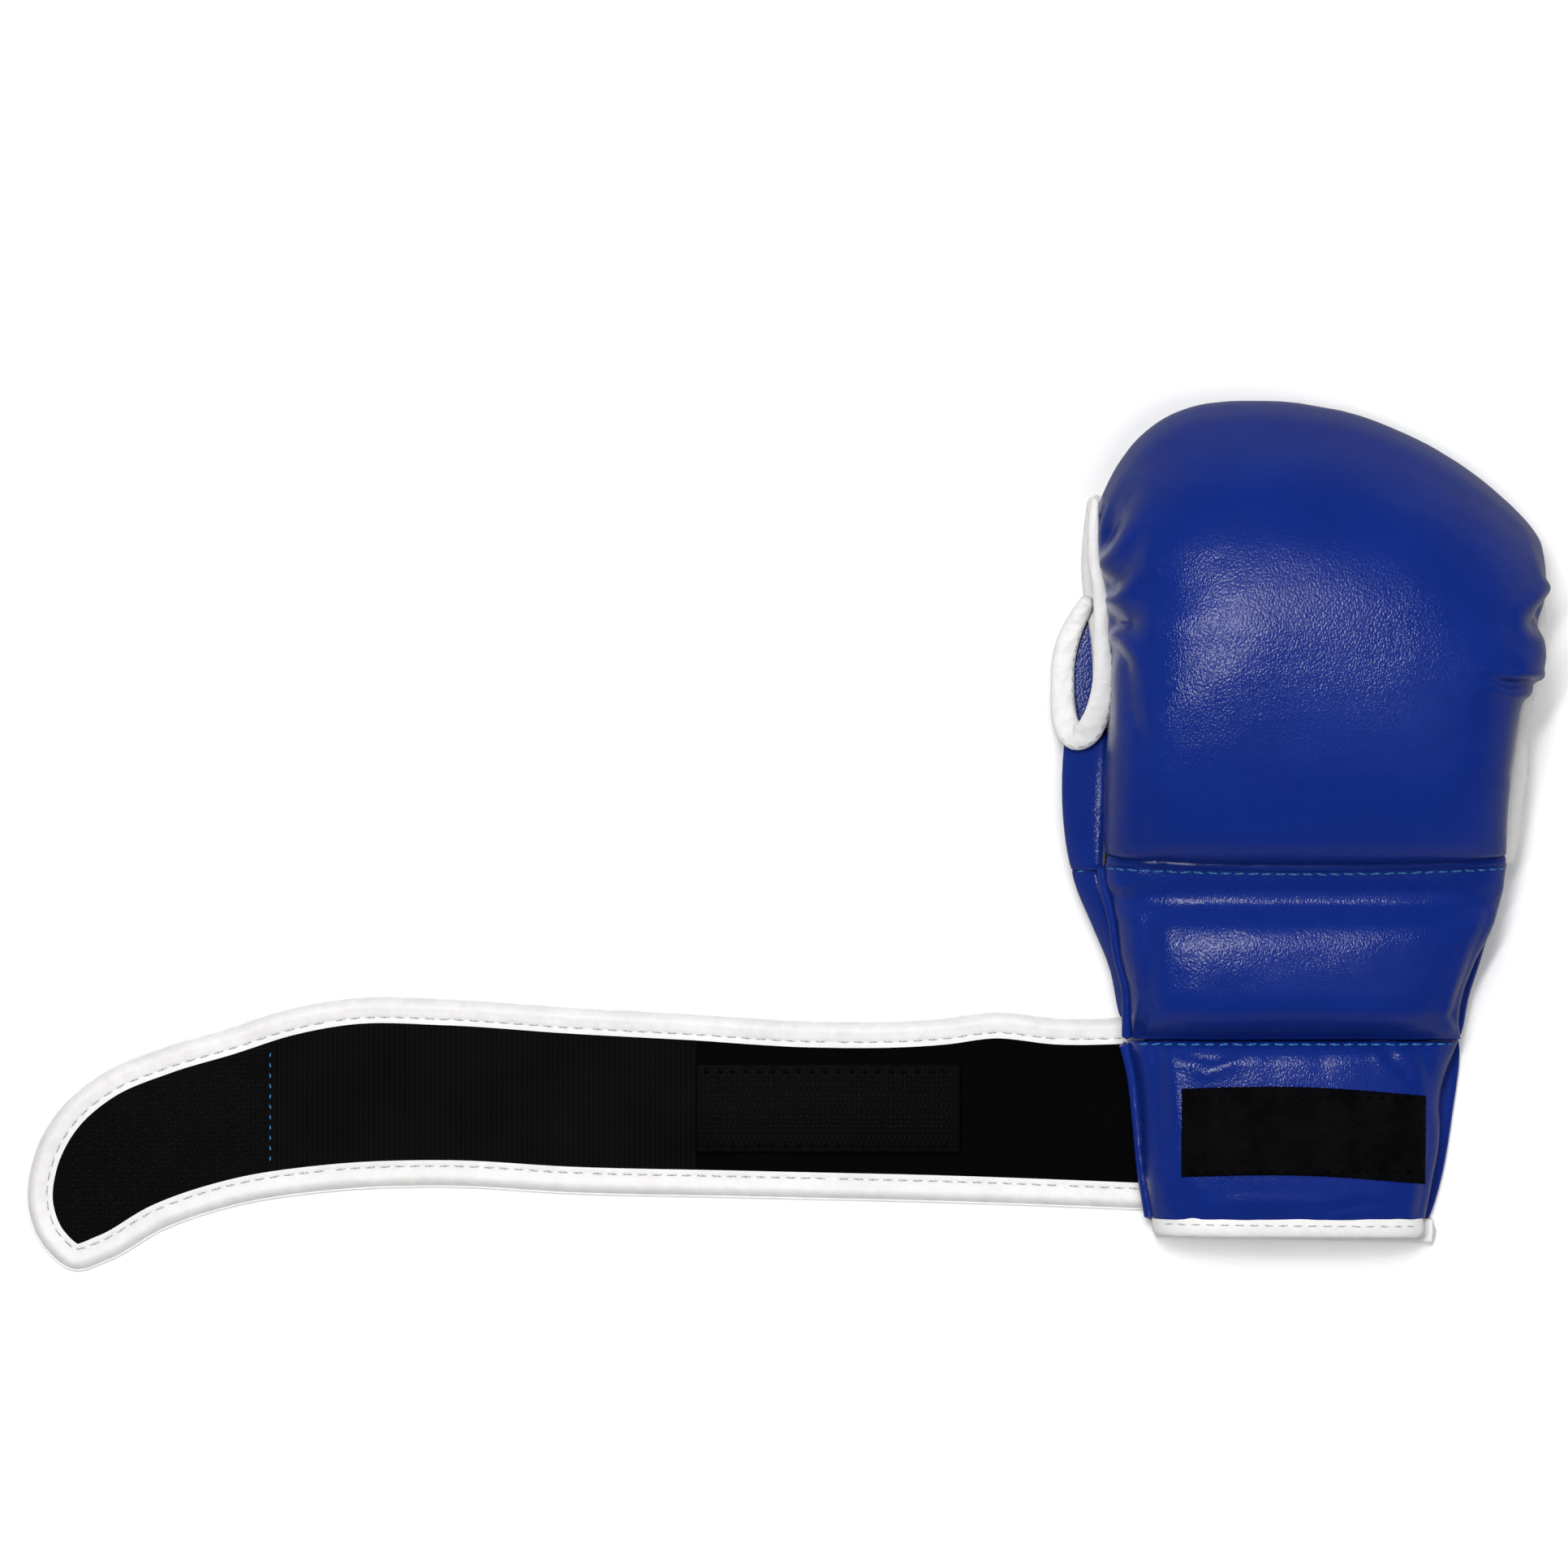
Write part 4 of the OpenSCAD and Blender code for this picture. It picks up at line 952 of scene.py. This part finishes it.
edgeGusset = pillowPiece("littleEdgeGusset",
                         [(74, 57), (100, 60), (120, 63), (160, 66)],
                         [(74, 63.6), (88, 65.4), (100, 66.8), (113, 67.2), (119, 67.6), (125, 69.4),
                          (136, 71.4), (148, 72), (160, 70.6)],
                         74, 160, [(74, 2.4), (160, 2.4)], [(74, 18.5), (100, 20.5), (136, 21.5), (160, 17)],
                         tilt=-2.5)
dress(edgeGusset, whiteTape)
bendAtKnuckles(edgeGusset)
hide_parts("little_edge_gusset")
print("bindings ready")


# Palm side and finger loops: the CAD shapes with their own finishes

for name in ("palm_heel_panel", "finger_palm_panel"):
    dress(frame["nodes"][name], blueLeather)
dress(frame["nodes"]["finger_panel_binding"], whiteTape)
for finger in ("index", "middle", "ring", "little"):
    dress(frame["nodes"][f"finger_loop_{finger}"], liningBlack)


# Strap

strapLow = nodeBox("strap_tip_binding")[0]
rootHigh = nodeBox("strap_root_binding")[1]
strapStart = rootHigh[0]
strapLength = strapStart - strapLow[0]
strapSpec = dict(
    # edge as (share of the length, mm from the centre line), out along the top and back along the bottom
    edge=[(0, 28), (0.075, 27.6), (0.135, 29.4), (0.18, 27.6), (0.297, 26.8), (0.405, 28.9),
          (0.513, 30.8), (0.624, 33.2), (0.71, 33.4), (0.769, 29.9), (0.82, 24.6), (0.877, 19.1),
          (0.935, 11), (0.972, 0.5), (0.995, -14), (0.999, -27), (0.985, -38.6),
          (0.957, -45.6), (0.925, -42.6), (0.877, -33.8), (0.812, -26.8), (0.732, -22.8),
          (0.624, -21.4), (0.513, -23.3), (0.368, -24.4), (0.153, -26.1), (0, -28)],
    middle=2.1, bindingWidth=8.0, bindingHeight=3.7, innerHeight=2.7,
)
edgePath = evenPath([(strapStart - share * strapLength, strapSpec["middle"] + y, 0)
                     for share, y in strapSpec["edge"]], 1.0)


def inward(path, distance):
    tangent = np.gradient(path[:, :2], axis=0)
    tangent /= np.linalg.norm(tangent, axis=1)[:, None]
    moved = path.copy()
    moved[:, 0] += -tangent[:, 1] * distance
    moved[:, 1] += tangent[:, 0] * distance
    return moved


# the links meet half way between two folds; the first and the last reach past the strap's ends
cutX = [strapStart + 6, *[(a + b) / 2 for a, b in zip(foldX, foldX[1:])], strapStart - strapLength - 5]


def bendStrap(piece, n):
    strapBodies[n + 1]
    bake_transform(piece)


def rootCrumple(x):
    # the strap is gathered where it is sewn to the cuff
    return ease((x + 100) / 45)


def bindingHeightAt(across):
    # top of the bound edge: round outside, sewn down along its inner lip; across is 0 outside, 1 inside
    groove = 0.28 * np.exp(-((across - 0.76) / 0.05) ** 2)
    return 3.55 * (1 - np.clip(1 - across / 0.42, 0, 1) ** 2.4) - 0.55 * ease((across - 0.3) / 0.6) - groove


def bindingRun(name, path):
    inner = inward(path, strapSpec["bindingWidth"])
    rows = len(path) - 1
    run = lengthsAlong(path)

    def place(u, v):
        k = np.rint(v * rows).astype(int)
        over = u < 0.72
        across = np.where(over, u / 0.72, 1 - (u - 0.72) / 0.28)
        p = mix(path[k], inner[k], across[:, None])
        crumple = rootCrumple(p[:, 0])
        flow = np.stack([run[k] + 2.5 * across, 6 * across, np.zeros_like(run[k])], 1)
        puff = 0.10 * ripple(flow, 9, 3) + (0.06 + 0.34 * crumple) * ripple(flow * [1.6, 0.7, 1], 7, 8)
        z = np.where(over, bindingHeightAt(across) + puff * np.clip(across * 5, 0, 1) * (1 - 0.6 * across),
                     0.15)
        p[:, 2] = np.clip(np.where((u < 0.001) | (u > 0.999), 1.0, z), 0.1, 3.75)
        return p
    return tubePiece(name, 30, rows, place)


def splitAt(path, n):
    inside = (path[:, 0] <= cutX[n]) & (path[:, 0] >= cutX[n + 1])
    tip = int(np.argmin(path[:, 0]))
    parts = []
    for half in (np.arange(len(path)) <= tip, np.arange(len(path)) >= tip):
        keep = np.flatnonzero(inside & half)
        if len(keep) > 1:
            part = path[keep]
            ends = []
            for edge in (cutX[n], cutX[n + 1]):
                run = path[half]
                order = np.argsort(run[:, 0])
                if run[:, 0].min() < edge < run[:, 0].max():
                    ends.append([edge, np.interp(edge, run[order, 0], run[order, 1]), 0])
            for e in ends:
                e = np.array(e)
                atStart = abs(e[0] - part[0, 0]) < abs(e[0] - part[-1, 0])
                part = np.vstack([e, part]) if atStart else np.vstack([part, e])
            parts.append(part)
    if n == 4:
        return [np.vstack([parts[0], parts[1][1:]])]
    return parts


def joinPieces(name, pieces):
    pick(pieces[0])
    for piece in pieces:
        piece.select_set(True)
    if len(pieces) > 1:
        bpy.ops.object.join()
    pieces[0].name = pieces[0].data.name = name
    return pieces[0]


def edgesAt(path, x):
    tip = int(np.argmin(path[:, 0]))
    top, bottom = path[:tip + 1], path[tip:]
    order = np.argsort(top[:, 0])
    orderLow = np.argsort(bottom[:, 0])
    return (np.interp(x, top[order, 0], top[order, 1]),
            np.interp(x, bottom[orderLow, 0], bottom[orderLow, 1]))


def strapSheet(name, x0, x1, inset, bottom, top, across=44, step=1.2, wave=1.0):
    # flat layer between the bound edges, closed, from x0 down to x1
    lines = inward(edgePath, inset)
    farthest = lines[:, 0].min() + 0.4
    x1 = max(x1, farthest)
    rows = max(int((x0 - x1) / step), 4)

    def place(u, v):
        x = mix(x0, x1, v)
        over = u < 0.5
        t = np.where(over, u * 2, 2 - u * 2)
        yTop, yLow = edgesAt(lines, x)
        y = mix(yLow, yTop, t)
        flat = np.stack([x, y, np.zeros_like(x)], 1)
        lift = wave * np.sin(np.pi * np.clip(t, 0.001, 0.999)) * (
            0.12 * ripple(flat, 60, 2) + 0.4 * rootCrumple(x) * ripple(flat * [1, 0.4, 1], 16, 5))
        z = np.where(over, top + lift, bottom)
        z = np.where((u < 0.001) | (u > 0.999), (top + bottom) / 2, z)
        return np.stack([x, y, z], 1)
    return tubePiece(name, across * 2, rows, place)


tipPanelX = nodeBox("strap_palm_hook_panel")[1][0]
sectionNodes = [
    (["strap_root_face"], ["strap_root_inner"], ["strap_root_binding"]),
    (["strap_thumb_side_face"], ["strap_thumb_side_inner"], ["strap_thumb_side_binding"]),
    (["strap_back_face"], ["strap_back_inner"], ["strap_back_binding"]),
    (["strap_little_side_face"], ["strap_little_side_elastic"], ["strap_little_side_binding"]),
    (["strap_palm_face", "strap_tip_face"], ["strap_palm_elastic"],
     ["strap_palm_binding", "strap_tip_binding"]),
]
elasticStart = nodeBox("hook_patch")[0][0]
for n in range(5):
    faces, inners, bindings = sectionNodes[n]
    x0, x1 = cutX[n], cutX[n + 1]
    face = strapSheet(f"strapFace{n + 1}", min(x0, strapStart + 3), x1, 1.5, 0.1, 1.2, wave=0.3)
    dress(face, strapLeather)
    bendStrap(face, n)
    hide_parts(*faces)
    spans = [(min(x0, strapStart + 5), max(x1, tipPanelX), plainBlack if n < 3 else ribbedBlack)]
    if n == 2:
        spans = [(x0, elasticStart, plainBlack), (elasticStart, x1, ribbedBlack)]
    for k, (a, b, material) in enumerate(spans):
        inner = strapSheet(f"strapInner{n + 1}" + ("b" if k else ""), a, b, 6.6, 1.3, 2.3)
        dress(inner, material)
        bendStrap(inner, n)
        if k == 0:
            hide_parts(*inners)
        declareSheet(inner)
    band = joinPieces(f"strapBinding{n + 1}",
                      [bindingRun(f"strapBinding{n + 1}", part) for part in splitAt(edgePath, n)])
    dress(band, whiteTape)
    bendStrap(band, n)
    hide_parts(*bindings)
    seam = inward(edgePath, strapSpec["bindingWidth"] * 0.76)
    seam[:, 2] = float(bindingHeightAt(np.array(0.76))) + 0.1
    parts = [np.column_stack([part[:, :2], np.full(len(part), seam[0, 2])]) for part in splitAt(seam, n)]
    rows = [stitchRow("strapStitches", part, 4.3, 3.2, 0.5, side=(0, 1, 0), wander=0.2) for part in parts]
    threads = joinPieces(f"strapStitches{n + 1}", rows)
    dress(threads, greyThread)
    bendStrap(threads, n)
    declareSheet(face)

# Hook panel at the tip, over the last fold
tipPanel = strapSheet("tipHookPanel", tipPanelX, cutX[5], 6.6, 1.3, 2.75, wave=0.5, step=0.8)
dress(tipPanel, hookBlack)
bendStrap(tipPanel, 4)
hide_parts("strap_palm_hook_panel", "strap_tip_hook_panel")
declareSheet(tipPanel)
print("strap ready")


# Fastener patches

hookLow, hookHigh = nodeBox("hook_patch")
deselectAll()
bpy.ops.mesh.primitive_cube_add(size=1, location=tuple((hookLow + hookHigh) / 2 * mm),
                                scale=tuple((hookHigh - hookLow) * mm))
hookPatch = bpy.context.object
hookPatch.name = hookPatch.data.name = "hookPatch"
bpy.ops.object.transform_apply(location=True, rotation=True, scale=True)
editMesh(hookPatch, lambda: bpy.ops.mesh.bevel(offset=0.0005, segments=3, affect="EDGES"))
co = pointsOf(hookPatch)
co[:, 2] = mix(hookLow[2] - 0.4, hookHigh[2] - 0.5, (co[:, 2] - hookLow[2]) / (hookHigh[2] - hookLow[2]))
setPoints(hookPatch, co)
smoothShade(hookPatch, 40)
dress(hookPatch, hookBlack)
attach(hookPatch, "strap_back")
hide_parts("hook_patch")
dress(frame["nodes"]["hook_patch_stitching"], blackThread)


def hookField(name, spots):
    # rows of short bent hooks, each a small tapered stem
    deselectAll()
    bpy.ops.mesh.primitive_cylinder_add(vertices=5, radius=0.0002, depth=0.0008, location=(0, 0, 0))
    stem = bpy.context.object
    editMesh(stem, lambda: bpy.ops.mesh.subdivide(number_cuts=1))
    shape = pointsOf(stem)
    shape[:, 0] += 0.35 * np.clip((shape[:, 2] + 0.1) / 0.5, 0, 1) ** 2
    faces = [tuple(p.vertices) for p in stem.data.polygons]
    bpy.data.objects.remove(stem, do_unlink=True)
    verts, polys = [], []
    for k, (x, y, z) in enumerate(spots):
        turn = 1 if k % 2 else -1
        polys += [tuple(i + k * len(shape) for i in (f if turn > 0 else f[::-1])) for f in faces]
        verts.append(shape * [turn, 1, 1] + [x, y, z + 0.3])
    piece = listedPiece(name, verts, polys)
    dress(piece, hookShine)
    return piece


hookPitch = 1.5
spots = [(x + rng.uniform(-0.1, 0.1), y + rng.uniform(-0.1, 0.1), hookHigh[2] - 0.55)
         for x in np.arange(hookLow[0] + 3, hookHigh[0] - 2.5, hookPitch)
         for y in np.arange(hookLow[1] + 3, hookHigh[1] - 2.5, hookPitch)]
patchHooks = hookField("hookPatchHooks", spots)
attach(patchHooks, "strap_back")
panelEdge = inward(edgePath, 10.5)
spots = []
for x in np.arange(tipPanelX - 3, panelEdge[:, 0].min() + 1, -hookPitch):
    yTop, yLow = edgesAt(panelEdge, x)
    spots += [(x + rng.uniform(-0.1, 0.1), y + rng.uniform(-0.1, 0.1), 2.85)
              for y in np.arange(yLow + 0.5, yTop, hookPitch)]
tipHooks = hookField("tipPanelHooks", spots)
bendStrap(tipHooks, 4)
tipY = edgesAt(inward(edgePath, 9), tipPanelX + 1.2)
tipSeam = stitchRow("tipPanelStitching",
                    [[tipPanelX + 1.2, tipY[1] + 1, 2.9], [tipPanelX + 1.2, tipY[0] - 1, 2.9]], 3.0, 1.6, 0.5,
                    side=(1, 0, 0), wander=0.4)
dress(tipSeam, blueThread)
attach(tipSeam, "strap_palm")
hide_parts("tip_panel_stitching")
for n, x in ((2, hookLow[0] + 0.5), (1, hookHigh[0] - 4.0), (1, hookHigh[0] + 0.4)):
    yTop, yLow = edgesAt(inward(edgePath, 8.6), x)
    seam = stitchRow(f"strapSeam{abs(int(x))}", [[x, yLow, 2.35], [x, yTop, 2.35]], 3.0, 2.2, 0.5,
                     side=(1, 0, 0))
    dress(seam, blackThread)
    bendStrap(seam, n)
print("fastener patches ready")


# Floor, light and camera

studio = dict(cameraX=-0.1478, cameraY=0.0973, distance=3.0, frameWidth=0.454, sensor=36.0, horizon=0.34,
              zenith=0.015)
deselectAll()
bpy.ops.mesh.primitive_plane_add(size=8, location=(studio["cameraX"], studio["cameraY"], -0.0002))
floor = bpy.context.object
floor.name = "studioFloor"
floorLook = Look("paleFloor", Base_Color=(0.93, 0.93, 0.93), Roughness=0.9, Specular_IOR_Level=0.1)
dress(floor, floorLook.material)
# the lit floor stays out of the leather's own reflections, which keeps the rims blue
floor.visible_glossy = False

# dark overhead and bright towards the horizon, so that flat leather stays deep in colour
world = bpy.context.scene.world or bpy.data.worlds.new("Studio")
bpy.context.scene.world = world
world.use_nodes = True
sky = world.node_tree
coords = sky.nodes.new("ShaderNodeTexCoord")
split = sky.nodes.new("ShaderNodeSeparateXYZ")
band = sky.nodes.new("ShaderNodeMapRange")
for key, value in {"From Min": 0.05, "From Max": 0.4, "To Min": studio["horizon"],
                   "To Max": studio["zenith"]}.items():
    band.inputs[key].default_value = value
sky.links.new(coords.outputs["Generated"], split.inputs[0])
sky.links.new(split.outputs["Z"], band.inputs["Value"])
sky.links.new(band.outputs["Result"], sky.nodes["Background"].inputs["Strength"])
sky.nodes["Background"].inputs["Color"].default_value = (1, 1, 1, 1)


def softbox(name, location, target, width, height, power, mirrored=True):
    deselectAll()
    bpy.ops.object.light_add(type="AREA", location=location)
    light = bpy.context.object
    light.name = name
    light.data.shape = "RECTANGLE"
    light.data.size, light.data.size_y = width, height
    light.data.energy = power
    light.visible_glossy = mirrored
    light.rotation_euler = (Vector(target) - Vector(location)).to_track_quat("-Z", "Y").to_euler()


softbox("keyLight", (-0.33, 0.36, 1.7), (0, 0.12, 0), 0.8, 0.10, 15)
softbox("backLight", (-0.5, 1.5, 3.0), (-0.1, 0.1, 0), 1.8, 1.2, 52, mirrored=False)
softbox("frontLight", (0.9, -0.8, 3.2), (-0.05, 0.1, 0), 1.8, 1.8, 44, mirrored=False)

bpy.ops.object.camera_add(location=(studio["cameraX"], studio["cameraY"], studio["distance"]),
                          rotation=(0, 0, 0))
camera = bpy.context.object
camera.data.sensor_width = studio["sensor"]
camera.data.lens = studio["sensor"] * studio["distance"] / studio["frameWidth"]
camera.data.clip_end = 20
bpy.context.scene.camera = camera
bpy.context.scene.view_settings.view_transform = "Standard"
